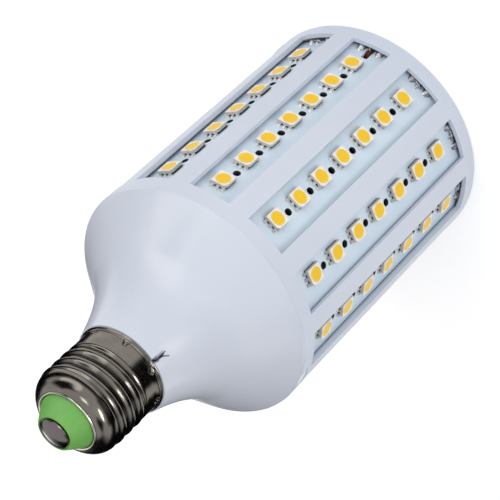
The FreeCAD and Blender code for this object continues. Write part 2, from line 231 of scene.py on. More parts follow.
# %% Walls with openings
def closed_wall(front, back, kept, around=False):
    """Two matching grids of points, with faces where a cell is kept and a side face wherever a kept cell
    borders a missing one or the grid's edge. Around the axis the last column joins the first."""
    rows, columns = front.shape[:2]
    shift = rows * columns
    number = np.arange(shift).reshape(rows, columns)
    beside = np.roll(number, -1, axis=1)
    skin = grid_faces(rows, columns, close_columns=around)[kept.ravel()]
    cell = kept if around else np.pad(kept, ((0, 0), (0, 1)))
    left = cell != np.roll(cell, 1, axis=1)
    low, high = number[:-1][left], number[1:][left]
    tall = np.pad(cell, ((1, 1), (0, 0)))
    level = tall[1:] != tall[:-1]
    here, there = number[level], beside[level]
    sides = [np.stack([low, high, high + shift, low + shift], -1),
             np.stack([here, there, there + shift, here + shift], -1)]
    points = np.concatenate([front.reshape(-1, 3), back.reshape(-1, 3)])
    return points, np.concatenate([skin, skin[:, ::-1] + shift, *sides]).tolist()


plate = closed_wall(np.zeros((2, 2, 3)), np.ones((2, 2, 3)), np.ones((1, 1), bool))
print("a wall of one cell has", len(plate[1]), "faces")


# %% [markdown]
# ## From points to a piece
# A piece is several such surfaces in one mesh. Points that meet are merged, and the faces are then turned
# outwards together, so that a wall has no seam and a pole no hole. The piece keeps its object at the
# origin, with its place in its mesh, and rides on the bulb's one body.

# %% Make a piece
merge_distance = 0.0005
map_unit = 100.0


def new_mesh(name, points, faces, finishes):
    """A mesh of points in millimetres, with its finishes."""
    mesh = bpy.data.meshes.new(name)
    mesh.from_pydata(points * mm, [], faces)
    for finish in finishes:
        mesh.materials.append(finish)
    return mesh


def put_in_scene(name, data):
    """A new object in the scene that shows the data: a mesh, a lamp or a camera."""
    thing = bpy.data.objects.new(name, data)
    bpy.context.scene.collection.objects.link(thing)
    return thing


def add_attribute(mesh, name, values):
    """One number for each point of a mesh, which a finish can read."""
    layer = mesh.attributes.new(name, "FLOAT", "POINT")
    layer.data.foreach_set("value", values.astype(np.float32))


def read_places(items, name):
    """Places of a mesh's points, or of its faces' middles, in millimetres."""
    places = np.empty(len(items) * 3, dtype=np.float32)
    items.foreach_get(name, places)
    return places.reshape(-1, 3) / mm


def make_piece(name, parts, finishes, stands_for, sharp=35.0, uv=None):
    """One object from parts of (points, faces, finish number), in millimetres, in place of the solids that it
    stands for. uv is the flat map, in millimetres divided by map_unit."""
    points, faces, numbers, start = [], [], [], 0
    for part_points, part_faces, number in parts:
        points.append(part_points)
        faces += [[corner + start for corner in face] for face in part_faces]
        numbers += [number] * len(part_faces)
        start += len(part_points)
    mesh = new_mesh(name, np.concatenate(points), faces, finishes)
    mesh.polygons.foreach_set("material_index", np.array(numbers, dtype=np.int32))
    if uv is not None:
        corners = np.empty(len(mesh.loops), dtype=np.int32)
        mesh.loops.foreach_get("vertex_index", corners)
        mesh.uv_layers.new(name="flat").data.foreach_set("uv", np.asarray(uv, float)[corners].ravel())
    piece = put_in_scene(name, mesh)
    close_and_face_out(mesh)
    mesh.shade_smooth()
    mesh.set_sharp_from_angle(angle=math.radians(sharp))
    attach(piece, "root")
    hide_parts(*stands_for)
    print(name, len(mesh.vertices), "points", len(mesh.polygons), "faces")
    return piece


def close_and_face_out(mesh):
    """Merges points nearer than merge_distance, in millimetres, drops faces with no area, and turns all faces
    outwards."""
    work = bmesh.new()
    work.from_mesh(mesh)
    bmesh.ops.remove_doubles(work, verts=work.verts, dist=merge_distance * mm)
    bmesh.ops.dissolve_degenerate(work, edges=work.edges, dist=1e-8)
    bmesh.ops.recalc_face_normals(work, faces=work.faces)
    work.to_mesh(mesh)
    work.free()


def soften_edges(piece, width):
    """Rounds the edges sharper than 40 degrees by a few tenths of a millimetre, as a mould leaves them."""
    bevel = piece.modifiers.new("soft edges", "BEVEL")
    bevel.width = width * mm
    bevel.segments = 2
    bevel.limit_method = "ANGLE"
    bevel.angle_limit = math.radians(40.0)
    bevel.harden_normals = True


# %% [markdown]
# ## Finishes as small node trees
# A finish is one Principled shader. Its colour and roughness vary a little over the surface, as a real
# moulding's or a plating's do, and a fine bump gives the light something to catch. The patterns read
# Object coordinates, in metres, or a flat map where they have to follow a board.

# %% Helpers for finishes
def colour(red, green, blue):
    """A colour as a picture shows it, 0 to 255, turned into the light it stands for."""
    shown = np.array([red, green, blue]) / 255.0
    light = np.where(shown <= 0.04045, shown / 12.92, ((shown + 0.055) / 1.055) ** 2.4)
    return (*light.tolist(), 1.0)


def add(finish, kind, inputs=None, **settings):
    """One shader node with its settings. An input is a plain value or another node's output."""
    node = finish.node_tree.nodes.new(kind)
    for key, value in settings.items():
        setattr(node, key, value)
    for key, value in (inputs or {}).items():
        if isinstance(value, bpy.types.NodeSocket):
            finish.node_tree.links.new(value, node.inputs[key])
        else:
            node.inputs[key].default_value = value
    return node


def new_finish(name, shader_inputs):
    """An empty finish with its Principled shader, whose fixed values are set on its own sockets."""
    finish = bpy.data.materials.new(name)
    finish.use_nodes = True
    shader = finish.node_tree.nodes["Principled BSDF"]
    for key, value in shader_inputs.items():
        shader.inputs[key].default_value = value
    return finish, shader


def join(finish, output, node, name):
    """Links one output to a named socket of a node."""
    finish.node_tree.links.new(output, node.inputs[name])


def dress(finish, shader, body, rough, skin):
    """Gives the shader its colour, its roughness and its bump, and returns the finish."""
    join(finish, body, shader, "Base Color")
    join(finish, rough, shader, "Roughness")
    join(finish, skin, shader, "Normal")
    return finish


def noise(finish, scale, detail=3.0, roughness=0.55, stretch=None):
    """Noise over the surface. scale counts blotches in a metre, and stretch squeezes it along the axes."""
    place = add(finish, "ShaderNodeTexCoord").outputs["Object"]
    if stretch:
        place = add(finish, "ShaderNodeMapping", {"Vector": place, "Scale": stretch}).outputs["Vector"]
    inputs = {"Vector": place, "Scale": scale, "Detail": detail, "Roughness": roughness}
    return add(finish, "ShaderNodeTexNoise", inputs).outputs["Fac"]


def spread(finish, value, low, high, start=0.3, end=0.7):
    """Spreads a value from start..end to low..high, and holds it there outside."""
    inputs = {"Value": value, "From Min": start, "From Max": end, "To Min": low, "To Max": high}
    return add(finish, "ShaderNodeMapRange", inputs).outputs["Result"]


def blend(finish, share, first, second):
    """Mixes two colours, each (red, green, blue) as a picture shows it or another node's output."""
    ends = [colour(*end) if isinstance(end, tuple) else end for end in (first, second)]
    node = add(finish, "ShaderNodeMix", {0: share, 6: ends[0], 7: ends[1]}, data_type="RGBA")
    return node.outputs[2]


def bump(finish, height, distance, strength=1.0, under=None):
    """A bump that rises by distance, in metres, where height is 1, on top of another one if given."""
    inputs = {"Height": height, "Distance": distance, "Strength": strength}
    if under is not None:
        inputs["Normal"] = under
    return add(finish, "ShaderNodeBump", inputs).outputs["Normal"]


def calculate(finish, operation, first, second=0.0):
    """One calculation on values or outputs."""
    return add(finish, "ShaderNodeMath", {0: first, 1: second}, operation=operation).outputs[0]


print("mid grey stands for", round(colour(128, 128, 128)[0], 3), "of the light")


# %% [markdown]
# Small parts share one recipe: two close tones in blotches, a roughness that wanders a little and a fine
# bump. The floor and the dark cards need other shaders, so they start from an empty tree.

# %% Recipes for finishes
def mottled(finish, scale, low, high, detail=3.0):
    """Blotches between a low and a high value."""
    return spread(finish, noise(finish, scale, detail), low, high)


def plain_finish(name, first, second, roughness, scale, height, metallic=0.0):
    """A simple mottled finish for small parts: two tones, uneven roughness and a fine bump."""
    finish, shader = new_finish(name, {"Metallic": metallic, "IOR": 1.5})
    body = blend(finish, mottled(finish, scale, 0.0, 1.0), first, second)
    rough = mottled(finish, scale * 2.3, roughness - 0.05, roughness + 0.08)
    return dress(finish, shader, body, rough, bump(finish, noise(finish, scale * 4), height))


def bare_finish(name):
    """An empty finish without the Principled shader, and its output node."""
    finish = bpy.data.materials.new(name)
    finish.use_nodes = True
    nodes = finish.node_tree.nodes
    nodes.remove(nodes["Principled BSDF"])
    return finish, nodes["Material Output"]


# %% [markdown]
# ## White plastics
# The cage is moulded in a satin white with a cool tint, and the neck cup in the same white but glossy. A
# moulding is never quite even: its skin has a faint orange peel, its colour drifts a little where the melt
# flowed, and handling leaves patches that are a touch duller.

# %% Satin and glossy white
def white_plastic(name, tone, shade, roughness, peel, coat=0.0, coat_roughness=0.2):
    """White moulding: colour drift, dull patches, and orange peel of the given height in metres."""
    finish, shader = new_finish(name, {"IOR": 1.5, "Coat Weight": coat, "Coat Roughness": coat_roughness})
    specks = spread(finish, noise(finish, 900.0, detail=1.0), 0.0, 1.0, 0.74, 0.80)
    body = blend(finish, mottled(finish, 22.0, 0.0, 1.0, detail=2.0), tone, shade)
    body = blend(finish, calculate(finish, "MULTIPLY", specks, 0.10), body, (150, 150, 160))
    patches = mottled(finish, 60.0, roughness - 0.04, roughness + 0.06, detail=4.0)
    skin = bump(finish, noise(finish, 1400.0, detail=2.0), peel)
    skin = bump(finish, noise(finish, 120.0, detail=1.0), peel * 4, 1.0, skin)
    return dress(finish, shader, body, patches, skin)


cage_white = white_plastic("cage satin white", (212, 219, 231), (207, 214, 227), 0.40, 0.000012)
cup_white = white_plastic("cup glossy white", (216, 222, 233), (211, 217, 230), 0.34, 0.000003, 0.45, 0.1)
print("white plastics ready")


# %% [markdown]
# ## The lattice cage
# The cage is one moulding: a thin round wall with twelve windows, two notches at the seam for the neck
# cup's snap tabs, and a T rail behind each rib. The wall is a grid of cells laid round the axis. Cells
# inside a window are left out, and wherever a kept cell borders one that isn't, a side face closes the
# wall. The grid's columns fall on the window edges of the outer and of the inner surface, so the window
# sides stay parallel as in the mould.

# %% Cage wall
cage_wall = 1.3
window_half = 6.55
window_low, window_high = 5.3, seam - 4.8
tab_half, tab_height = 3.5, 3.4
tab_rib = 10
head_rounding = 0.8


def column_angles(radius):
    """Directions of the grid's columns at a radius: rib middle, window edge and notch edge are among them."""
    edge = math.degrees(math.asin(window_half / radius))
    notch = step_angle / 2 - math.degrees(math.asin(tab_half / radius))
    rib = -step_angle / 2
    half = np.array([rib, (rib - edge) / 2, -edge])
    middle = np.linspace(-notch, notch, 9)
    sector = np.concatenate([half, middle, -half[:0:-1]])
    starts = strip_angle(1) + np.arange(strip_count) * step_angle
    return (starts[:, None] + sector[None]).ravel(), len(sector)


def wall_grid():
    """Outer points, inner points and kept cells of the cage's wall."""
    outer_angles, per_sector = column_angles(cage_radius)
    inner_angles, _ = column_angles(cage_radius - cage_wall)
    turn = np.linspace(0, np.pi / 2, 5)
    rim_rows = head_rounding * (1 - np.cos(turn))
    heights = np.concatenate([rim_rows, [window_low, window_high, seam - tab_height, seam]])
    radii = np.full(len(heights), cage_radius)
    radii[:len(turn)] = cage_radius - head_rounding * (1 - np.sin(turn))
    outer = polar(radii[:, None], outer_angles[None], heights[:, None])
    inner = polar(cage_radius - cage_wall, inner_angles[None], heights[:, None])
    row_middle = (heights[1:] + heights[:-1]) / 2
    in_window = (row_middle > window_low) & (row_middle < window_high)
    column = np.arange(len(outer_angles)) % per_sector
    across_window = (column >= 2) & (column < per_sector - 3)
    kept = ~(in_window[:, None] & across_window[None])
    middle_angle = (outer_angles + np.roll(outer_angles, -1)) / 2
    middle_angle[-1] = outer_angles[-1] + 1.0
    notch_reach = math.degrees(math.asin(tab_half / cage_radius)) + 0.1
    for side in (0.0, 180.0):
        centre = strip_angle(tab_rib) + step_angle / 2 + side
        kept[-1] &= np.abs(turn_from(middle_angle, centre)) > notch_reach
    return outer, inner, kept


outer_wall, inner_wall, kept_cells = wall_grid()
wall_points, wall_faces = closed_wall(outer_wall, inner_wall, kept_cells, around=True)
print("cage wall cells", int(kept_cells.sum()), "of", kept_cells.size)


# %% [markdown]
# Behind each rib stands a rail with a T section. Its stem carries the rib's sides on down to the boards,
# and two slots between the stem and the flange hold the edges of the two boards. The slots are a little
# wider than the boards, and their own faces carry a dark grey painted shade, which shows as a fine shadow
# line beside each board. One T outline is enough: its corners are worked out in the directions of the two
# windows beside it, and it is carried up the cage and round the ribs.

# %% Rails and the finished cage
slide_fit, slot_front_gap = 0.1, 0.24
rail_half, rail_back_wall, rail_top = 2.9, 1.3, seam - 2.7
stem_inset, stem_overlap = 0.5, 0.3
slot_sides = (1, 2, 3, 7, 8, 9)
edge_softness = 0.22
# The slots' faces get a dark grey painted shade that draws the shadow line beside each board.
slot_shade = plain_finish("shaded slot", (88, 90, 95), (72, 74, 79), 0.6, 600.0, 0.00001)


def rail_outline():
    """Half of the T in the rib's own directions, then its mirror image. Each corner is (depth, side)."""
    tilt = math.radians(step_angle / 2)
    slot_front, slot_back = board_face + slot_front_gap, board_back - slide_fit
    window_side = -(window_half + stem_inset)
    slot_side = -(board_half + slide_fit)
    by_window = np.array([
        (cage_radius - cage_wall + stem_overlap, window_side),
        (slot_front, window_side),
        (slot_front, slot_side),
        (slot_back, slot_side),
    ])
    depth = by_window[:, 0] * math.cos(tilt) - by_window[:, 1] * math.sin(tilt)
    side = by_window[:, 0] * math.sin(tilt) + by_window[:, 1] * math.cos(tilt)
    flange = (slot_back - rail_half * math.sin(tilt)) / math.cos(tilt)
    flange_side = [(flange, rail_half), (slot_back - rail_back_wall, rail_half)]
    half = np.concatenate([np.stack([depth, side], -1), flange_side])
    return np.concatenate([half, (half * [1, -1])[::-1]])


def make_cage():
    """The wall and its rails as one piece. The sides of the rails that lie in the slots carry a painted
    shade.
    """
    rail, faces = extruded(lifted(rail_outline(), end_board_top), (0, 0, rail_top - end_board_top))
    shaded = [faces[side] for side in slot_sides]
    plain = [face for face in faces if face not in shaded]
    parts = [(wall_points, wall_faces, 0)]
    for number in range(1, strip_count + 1):
        points = turned(rail, strip_angle(number) + step_angle / 2)
        parts += [(points, plain, 0), (points, shaded, 1)]
    piece = make_piece("lattice_cage", parts, [cage_white, slot_shade], ["cage"])
    soften_edges(piece, edge_softness)


make_cage()


# %% [markdown]
# ## The neck cup
# The cup is one round moulding: a rim that sits on the cage, a shoulder that leans in at 45 degrees, and a
# neck that bows up to the screw shell. It is one closed outline carried round the axis. The bow is a curve
# with three poles, so it leaves the shoulder and meets the shell in the right directions with no kink. Two
# snap tabs, the ribs that guide the driver board and the slot for the bare lead are added to it.

# %% Cup outline
cup_wall = 1.6
cage_plug = cage_radius - cage_wall - 0.1
cup_rim = cage_radius - 0.06
rim_land = 0.5
shoulder = np.array([24.7, seam + 11.2])
neck_pull = np.array([17.6, seam + 18.6])
cup_end = shell_rim - 0.1
neck_end = np.array([14.0, cup_end])
band_plug, thread_plug, spigot_bore = 12.6, 11.85, 10.5
plug_step = 127.7
lead_angle = -107.0
cup_steps = 288


def cup_outline():
    """Closed outline: plug, rim, straight shoulder, bow, spigot, and back down the bore."""
    slant = cup_wall / math.cos(math.radians(45))
    t = np.linspace(0, 1, 40)[1:, None]
    bow = (1 - t) ** 2 * shoulder + 2 * t * (1 - t) * neck_pull + t ** 2 * neck_end
    lower = rounded([
        (spigot_bore, seam + 24.0, 0),
        (cage_plug - cup_wall, seam + rim_land, 1.0),
        (cage_plug - cup_wall, cup_low, 0.3),
        (cage_plug, cup_low, 0.3),
        (cage_plug, seam, 0),
        (cup_rim, seam, 0.06),
        (cup_rim, seam + rim_land, 0.35),
        (shoulder[0], shoulder[1], 0),
    ])[1:]
    straight = shoulder + (lower[-2] - shoulder) * np.linspace(0.9, 0.1, 5)[:, None]
    upper = rounded([
        (neck_end[0], neck_end[1], 0),
        (band_plug, cup_end, 0),
        (band_plug, plug_step, 0.1),
        (thread_plug, plug_step, 0),
        (thread_plug, spigot_end, 0.3),
        (spigot_bore, spigot_end, 0.3),
        (spigot_bore, cup_end, 0),
        (shoulder[0] - slant, shoulder[1], 0),
    ])[1:]
    return np.concatenate([lower[:-1], straight, lower[-1:], bow, upper])


outline = cup_outline()
print("cup outline", len(outline), "points, radius %.2f to %.2f" % (outline[:, 0].min(), outline[:, 0].max()))


# %% [markdown]
# What isn't round on the cup comes after the turned shape. The slot for the bare lead is pressed into the
# turned points themselves, so the surface stays closed. The tabs and the ribs are small closed blocks that
# reach a little way into the wall and belong to the same piece, as they would in one moulding.

# %% Cup with its tabs, ribs and lead slot
slot_side_fade = (0.4, 0.75)
slot_end_fade = (cup_end - 1.3, cup_end - 1.0)
tab_gap = 0.2
guide_rib_places = (0.9, -2.0)
guide_rib_thick, guide_rib_reach = 1.1, 1.5


def lead_slot(points):
    """Presses a narrow slot into the end of the neck: full depth at the lead, fading beside it."""
    radius = np.hypot(points[:, 0], points[:, 1])
    angle = np.degrees(np.arctan2(points[:, 1], points[:, 0]))
    beside = np.abs(turn_from(angle, lead_angle)) * np.pi / 180 * radius
    inside = (1 - smooth_step(beside, *slot_side_fade)) * smooth_step(points[:, 2], *slot_end_fade)
    inside = inside * (points[:, 2] < cup_end + 0.01) * (radius > band_plug)
    shrink = 1 - inside * (radius - band_plug) / np.maximum(radius, 1)
    return points * np.stack([shrink, shrink, np.ones_like(shrink)], -1)


def tab_part(centre):
    """A snap tab: a slab curved like the cage, a little smaller all round than its notch."""
    reach = math.degrees((tab_half - tab_gap) / cage_radius)
    angles = centre + np.linspace(-reach, reach, 7)
    low, high = seam - tab_height + tab_gap, seam + rim_land / 2
    inner, outer = cage_radius - cage_wall + 0.1, cage_radius - 0.12
    rows = [(inner, low), (outer, low), (outer, high), (inner, high)]
    ring = np.array([polar(radius, angles, height) for radius, height in rows])
    points = ring.transpose(1, 0, 2).reshape(-1, 3)
    faces = grid_faces(len(angles), 4, close_columns=True).tolist()
    faces += [[0, 1, 2, 3], [len(points) - 1 - corner for corner in range(4)]]
    return points, faces, 0


def guide_rib_part(side, low):
    """One of the four ribs in the bore that hold the driver board on edge."""
    high, inner, outer = low + guide_rib_thick, spigot_bore - guide_rib_reach, spigot_bore + 0.2
    flat = [(inner * side, low), (inner * side, high), (outer * side, high), (outer * side, low)]
    points, faces = extruded(lifted(flat, cup_end), (0, 0, spigot_end - cup_end))
    return points, faces, 0


def make_cup():
    """The turned cup with everything that is moulded on it."""
    points, faces = revolved(outline, cup_steps)
    parts = [(lead_slot(points), faces, 0)]
    tab_middle = strip_angle(tab_rib) + step_angle / 2
    parts += [tab_part(tab_middle), tab_part(tab_middle + 180)]
    for side in (1, -1):
        for low in guide_rib_places:
            parts.append(guide_rib_part(side, low))
    piece = make_piece("neck_cup_moulding", parts, [cup_white], ["neck_cup"], sharp=50.0)


make_cup()


# %% [markdown]
# ## Nickel plate
# The screw shell and the contact are thin sheet, rolled and then nickel plated. The plate is darker than
# chrome and faintly warm. Rolling leaves fine rings round the shell. On the shell the colour is brightest
# on the crests and darkest in the roots, a painted highlight and painted shade that also stand for the
# rubbing of hands and lampholders, and the bead and the lip are painted bright. The mesh carries how far
# each point stands out as an attribute, so this painted light follows the thread itself.

# %% Nickel finish
ring_scale = 1500.0


def nickel(name, bright, dark, worn=True):
    """Plated sheet: a colour between root and crest, with painted shade in the roots and a painted highlight,
    partly wear, on the bead and lip, rolling rings, smudges and tiny pits. The crest attribute is 0 in a
    root,
    1 on a crest, and up to 2 on the bead and lip, which get the painted highlight."""
    finish, shader = new_finish(name, {"Metallic": 1.0, "IOR": 2.0})
    smudge = noise(finish, 170.0, detail=5.0, roughness=0.6, stretch=(1.0, 1.0, 2.5))
    share = spread(finish, smudge, 0.72, 1.0, 0.35, 0.65)
    if worn:
        # Painted shade: the roots are darkened towards the dark colour, as the shade in the thread's hollows.
        crest = add(finish, "ShaderNodeAttribute", attribute_name="crest").outputs["Fac"]
        share = calculate(finish, "MULTIPLY", share, spread(finish, crest, 0.15, 1.0, 0.1, 0.6))
    body = blend(finish, share, dark, bright)
    if worn:
        # Painted highlight, partly wear: the bead and the lip turn a pale colour.
        wear_and_painted_highlight = calculate(finish, "MULTIPLY", spread(finish, crest, 0.0, 1.0, 1.1, 1.8),
                           spread(finish, noise(finish, 75.0, detail=2.0), 0.25, 1.0, 0.4, 0.6))
        body = blend(finish, wear_and_painted_highlight, body, (226, 221, 212))
    rings = noise(finish, 1.0, detail=4.0, roughness=0.7, stretch=(25.0, 25.0, ring_scale))
    rough = calculate(finish, "ADD", spread(finish, rings, 0.09, 0.17), spread(finish, smudge, -0.01, 0.04))
    pits = spread(finish, noise(finish, 2600.0, detail=1.0), 1.0, 0.0, 0.70, 0.78)
    skin = bump(finish, rings, 0.00004, 0.8)
    return dress(finish, shader, body, rough, bump(finish, pits, 0.00001, 0.6, skin))


# The shell's dark colour is the painted shade of the thread's roots.
shell_nickel = nickel("shell nickel plate", (124, 119, 112), (50, 47, 45))
contact_nickel = nickel("contact nickel plate", (112, 107, 106), (92, 88, 87), worn=False)
print("nickel ready")


# %% [markdown]
# ## The screw shell
# A lampholder's thread is rolled into the sheet, so it is round at crest and root: a cosine along the axis
# whose phase turns once with the bulb, which makes the ridge climb like a right-hand screw. The thread
# fades into a smooth band and a flared rim at one end, and into a rounded knee and a folded lip at the
# other. The whole outside is one function of direction and height, and staking marks are pressed into the
# flare.

# %% Shell surface
shell_wall = 0.3
band_radius = 13.0
flare_height = 2.6
thread_root, thread_crest = 12.25, 13.2
thread_pitch = 3.629
thread_start_height, thread_start_angle = shell_rim + 7.1, 102.0
thread_fade_in = (shell_rim + 5.7, shell_rim + 7.3)
thread_fade_out = (shell_rim + 17.1, shell_rim + 18.5)
knee_base, knee_body, knee_radius = shell_rim + 17.6, 12.9, 5.0
lip_radius, lip_width, lip_bead = 8.7, 0.3, 0.42
stake_height, stake_angles = shell_rim + 1.75, -27.5 - 43.4 * np.arange(8)
stake_depth, stake_size, stake_lip, stake_stagger = 0.40, 0.62, 0.13, 0.15
groove_depth, groove_place, groove_width = 0.10, shell_rim + 0.55, 0.16
bead_height, bead_place, bead_width = 0.07, shell_rim + 0.95, 0.14
shell_steps = 320


def shell_radius(angle, height):
    """Distance of the shell's outside from the axis: a flare with a groove and a bead pressed into it, the
    smooth band, a cosine for the thread, and the circle of the knee, each fading into the next."""
    flare = band_radius + (rim_radius - band_radius) * np.clip(
        (shell_rim + flare_height - height) / flare_height, 0, 1) ** 2.2
    flare = flare - groove_depth * np.exp(-((height - groove_place) / groove_width) ** 2)
    flare = flare + bead_height * np.exp(-((height - bead_place) / bead_width) ** 2)
    turns = (height - thread_start_height) / thread_pitch - (angle - thread_start_angle) / 360.0
    wave = (1 + np.cos(2 * np.pi * turns)) / 2
    thread = thread_root + (thread_crest - thread_root) * wave ** 0.8
    over = np.clip(height - knee_base, 0, knee_radius - 0.01)
    knee = knee_body - knee_radius + np.sqrt(knee_radius ** 2 - over ** 2)
    radius = flare + (thread - flare) * smooth_step(height, *thread_fade_in)
    radius = radius + (knee - radius) * smooth_step(height, *thread_fade_out)
    return radius + staking(angle, height)


def staking(angle, height):
    """The marks that lock the shell on the cup: a round dent with a raised lip, one at each staking angle."""
    change = np.zeros(np.broadcast(angle, height).shape)
    for number, mark in enumerate(stake_angles):
        beside = turn_from(angle, mark) * np.pi / 180 * band_radius
        above = height - stake_height + stake_stagger * (-1) ** number
        away = np.hypot(beside, above) / stake_size
        change = change - stake_depth * np.exp(-away ** 4) + stake_lip * np.exp(-((away - 1.45) / 0.3) ** 2)
    return change


print("shell rim radius %.2f, crest %.2f" % (shell_radius(0.0, shell_rim), thread_crest))


# %% [markdown]
# The sheet itself is one closed grid: up the outside, over the lip and down the inside. Once its points are
# merged, each is asked how far it stands out, and that number becomes the attribute from which the plating
# paints shade in the roots and a highlight on the bead and lip.

# %% Shell sheet
def shell_part():
    """Outside rows from the rim to the knee, the lip folded over in a small half circle, then the plain
    inside back to the rim, as one closed sheet."""
    angles = np.arange(shell_steps) * 360.0 / shell_steps
    heights = np.concatenate([
        shell_rim + np.linspace(0.18, flare_height, 30),
        shell_rim + np.linspace(flare_height + 0.3, flare_height + 3.0, 9),
        np.linspace(shell_rim + 5.75, knee_base, 92),
    ])
    lip_turn = math.degrees(math.acos((lip_radius - knee_body + knee_radius) / knee_radius))
    arc = np.radians(np.linspace(3, lip_turn, 22))
    heights = np.concatenate([heights, knee_base + knee_radius * np.sin(arc)])
    outside = polar(shell_radius(angles[None], heights[:, None]), angles[None], heights[:, None])
    under = knee_base + shell_wall
    bead = np.radians(np.linspace(20, 190, 9))
    fold = np.column_stack([lip_radius - lip_width + lip_bead + lip_bead * np.cos(bead),
                            shell_end - 0.10 + lip_bead * np.sin(bead)])
    back = np.array([
        (lip_radius - lip_width, shell_end - shell_wall),
        (knee_body - shell_wall - 2.4, knee_base + 3.7), (knee_body - shell_wall - 0.4, knee_base + 1.9),
        (knee_body - shell_wall, under), (thread_root - shell_wall, under),
        (thread_root - shell_wall, shell_rim + 5.5), (band_radius - shell_wall, shell_rim + 5.5),
        (band_radius - shell_wall, shell_rim + 0.4), (band_radius - shell_wall + 0.1, shell_rim + 0.1),
        (rim_radius - 0.35, shell_rim), (rim_radius - 0.08, shell_rim + 0.02), (rim_radius, shell_rim + 0.09),
    ])
    back = np.concatenate([fold, back])
    inside = polar(back[:, :1], angles[None], back[:, 1:])
    points = np.concatenate([outside, inside])
    return points.reshape(-1, 3), grid_faces(len(points), len(angles), True, True).tolist()


def make_shell():
    """The shell, with the attribute that says how far each point stands out, from which the plating paints
    shade and highlight.
    """
    points, faces = shell_part()
    piece = make_piece("screw_shell_sheet", [(points, faces, 0)], [shell_nickel], ["screw_shell"], sharp=60.0)
    place = read_places(piece.data.vertices, "co")
    radius = np.hypot(place[:, 0], place[:, 1])
    threaded = (place[:, 2] > thread_fade_in[1]) & (place[:, 2] < knee_base)
    crest = np.where(threaded, (radius - thread_root) / (thread_crest - thread_root), 0.75)
    # The bead and the lip get values above 1, which the plating paints as a highlight.
    on_bead = np.exp(-((place[:, 2] - bead_place) / 0.22) ** 2) * (radius > band_radius)
    lip = (place[:, 2] > shell_end - 0.1) & (radius < lip_radius + 0.6)
    crest = np.clip(crest, 0, 1) + np.maximum(on_bead, lip * 1.0)
    add_attribute(piece.data, "crest", crest)
    return piece


shell = make_shell()


# %% [markdown]
# ## Insulator and centre contact
# The green plug closes the shell: a low collar inside the folded lip, then a cone with a smooth matt skin.
# In a shallow recess in its end sits the contact, a flatly domed button riveted through it. Both are
# turned forms, so each is an outline with rounded corners carried round the axis; where an outline touches
# the axis its points are merged to a pole.

# %% Green insulator
def green_plug_finish():
    """Matt green moulding with a faint flow pattern, handling dust and a fine spark-eroded grain."""
    finish, shader = new_finish("insulator green", {"IOR": 1.5})
    flow = noise(finish, 140.0, detail=3.0, stretch=(1.0, 1.0, 0.4))
    body = blend(finish, spread(finish, flow, 0.0, 1.0), (115, 181, 87), (104, 168, 77))
    dust = spread(finish, noise(finish, 1500.0, detail=2.0), 0.0, 0.18, 0.62, 0.75)
    body = blend(finish, dust, body, (190, 214, 170))
    grain = bump(finish, noise(finish, 2200.0, detail=2.0), 0.000012)
    return dress(finish, shader, body, mottled(finish, 300.0, 0.36, 0.50), grain)


plug_steps = 160
cone_base, cone_top_radius, collar_radius = cone_end - 4.3, 5.35, 7.9
recess_radius, recess_depth = 5.0, 0.5
seat = cone_end - recess_depth
flange_radius, flange_low, flange_top = 10.1, spigot_end + 0.1, 143.0
collar_outer = lip_radius - lip_width - 0.1
stem_hole = 1.1
insulator_green = green_plug_finish()
insulator_outline = rounded([
    (stem_hole, flange_low, 0.2),
    (flange_radius, flange_low, 0.3),
    (flange_radius, flange_top, 0.3),
    (collar_outer, flange_top, 0),
    (collar_outer, shell_end - 0.05, 0.25),
    (collar_radius, cone_base, 0.5),
    (cone_top_radius, cone_end, 0.3),
    (recess_radius, cone_end, 0.1),
    (recess_radius - 0.1, seat, 0.05),
    (stem_hole, seat, 0.05),
])
points, faces = revolved(insulator_outline, plug_steps)
parts = [(points, faces, 0)]
insulator = make_piece("green_insulator", parts, [insulator_green], ["cap_insulator"], sharp=50.0)


# %% [markdown]
# The centre contact is a small pressed cap, slightly domed, on a pin that goes down through the insulator.
# It is turned like the others and has the same plate, but greyer, since a lampholder's spring scratches
# it.

# %% Centre contact
contact_radius, contact_rim, stem_radius, stem_length = 4.5, 0.75, 1.0, 11.8
button_steps = 128


def contact_outline():
    """Outline from the axis at the stem's end to the axis at the dome's top. The dome is part of a circle."""
    dome = contact_top - seat - contact_rim
    dome_radius = (contact_radius ** 2 + dome ** 2) / (2 * dome)
    first = math.acos((contact_radius - 0.15) / dome_radius)
    arc = np.linspace(first, np.pi / 2, 26)[:, None]
    crown = np.hstack([dome_radius * np.cos(arc), contact_top - dome_radius + dome_radius * np.sin(arc)])
    stem = rounded([
        (0, seat - stem_length, 0),
        (stem_radius, seat - stem_length, 0.2),
        (stem_radius, seat, 0),
        (contact_radius, seat, 0.1),
        (contact_radius, seat + contact_rim, 0.1),
        (0, contact_top, 0),
    ])[:-1]
    return np.concatenate([stem, crown])


points, faces = revolved(contact_outline(), button_steps, closed=False)
parts = [(points, faces, 0)]
contact = make_piece("contact_button", parts, [contact_nickel], ["centre_contact"], sharp=50.0)


# %% [markdown]
# ## Solder mask boards
# Each strip board is laminate under a pale, slightly blue white solder mask. Copper under the mask shows as
# faint raised areas with narrow gaps between them. A flat map in the board's own millimetres carries these,
# so they follow each board round the bulb. Real vent holes go through the board.

# %% Board finish
copper_half = 3.7
copper_gap = (0.10, 0.22)


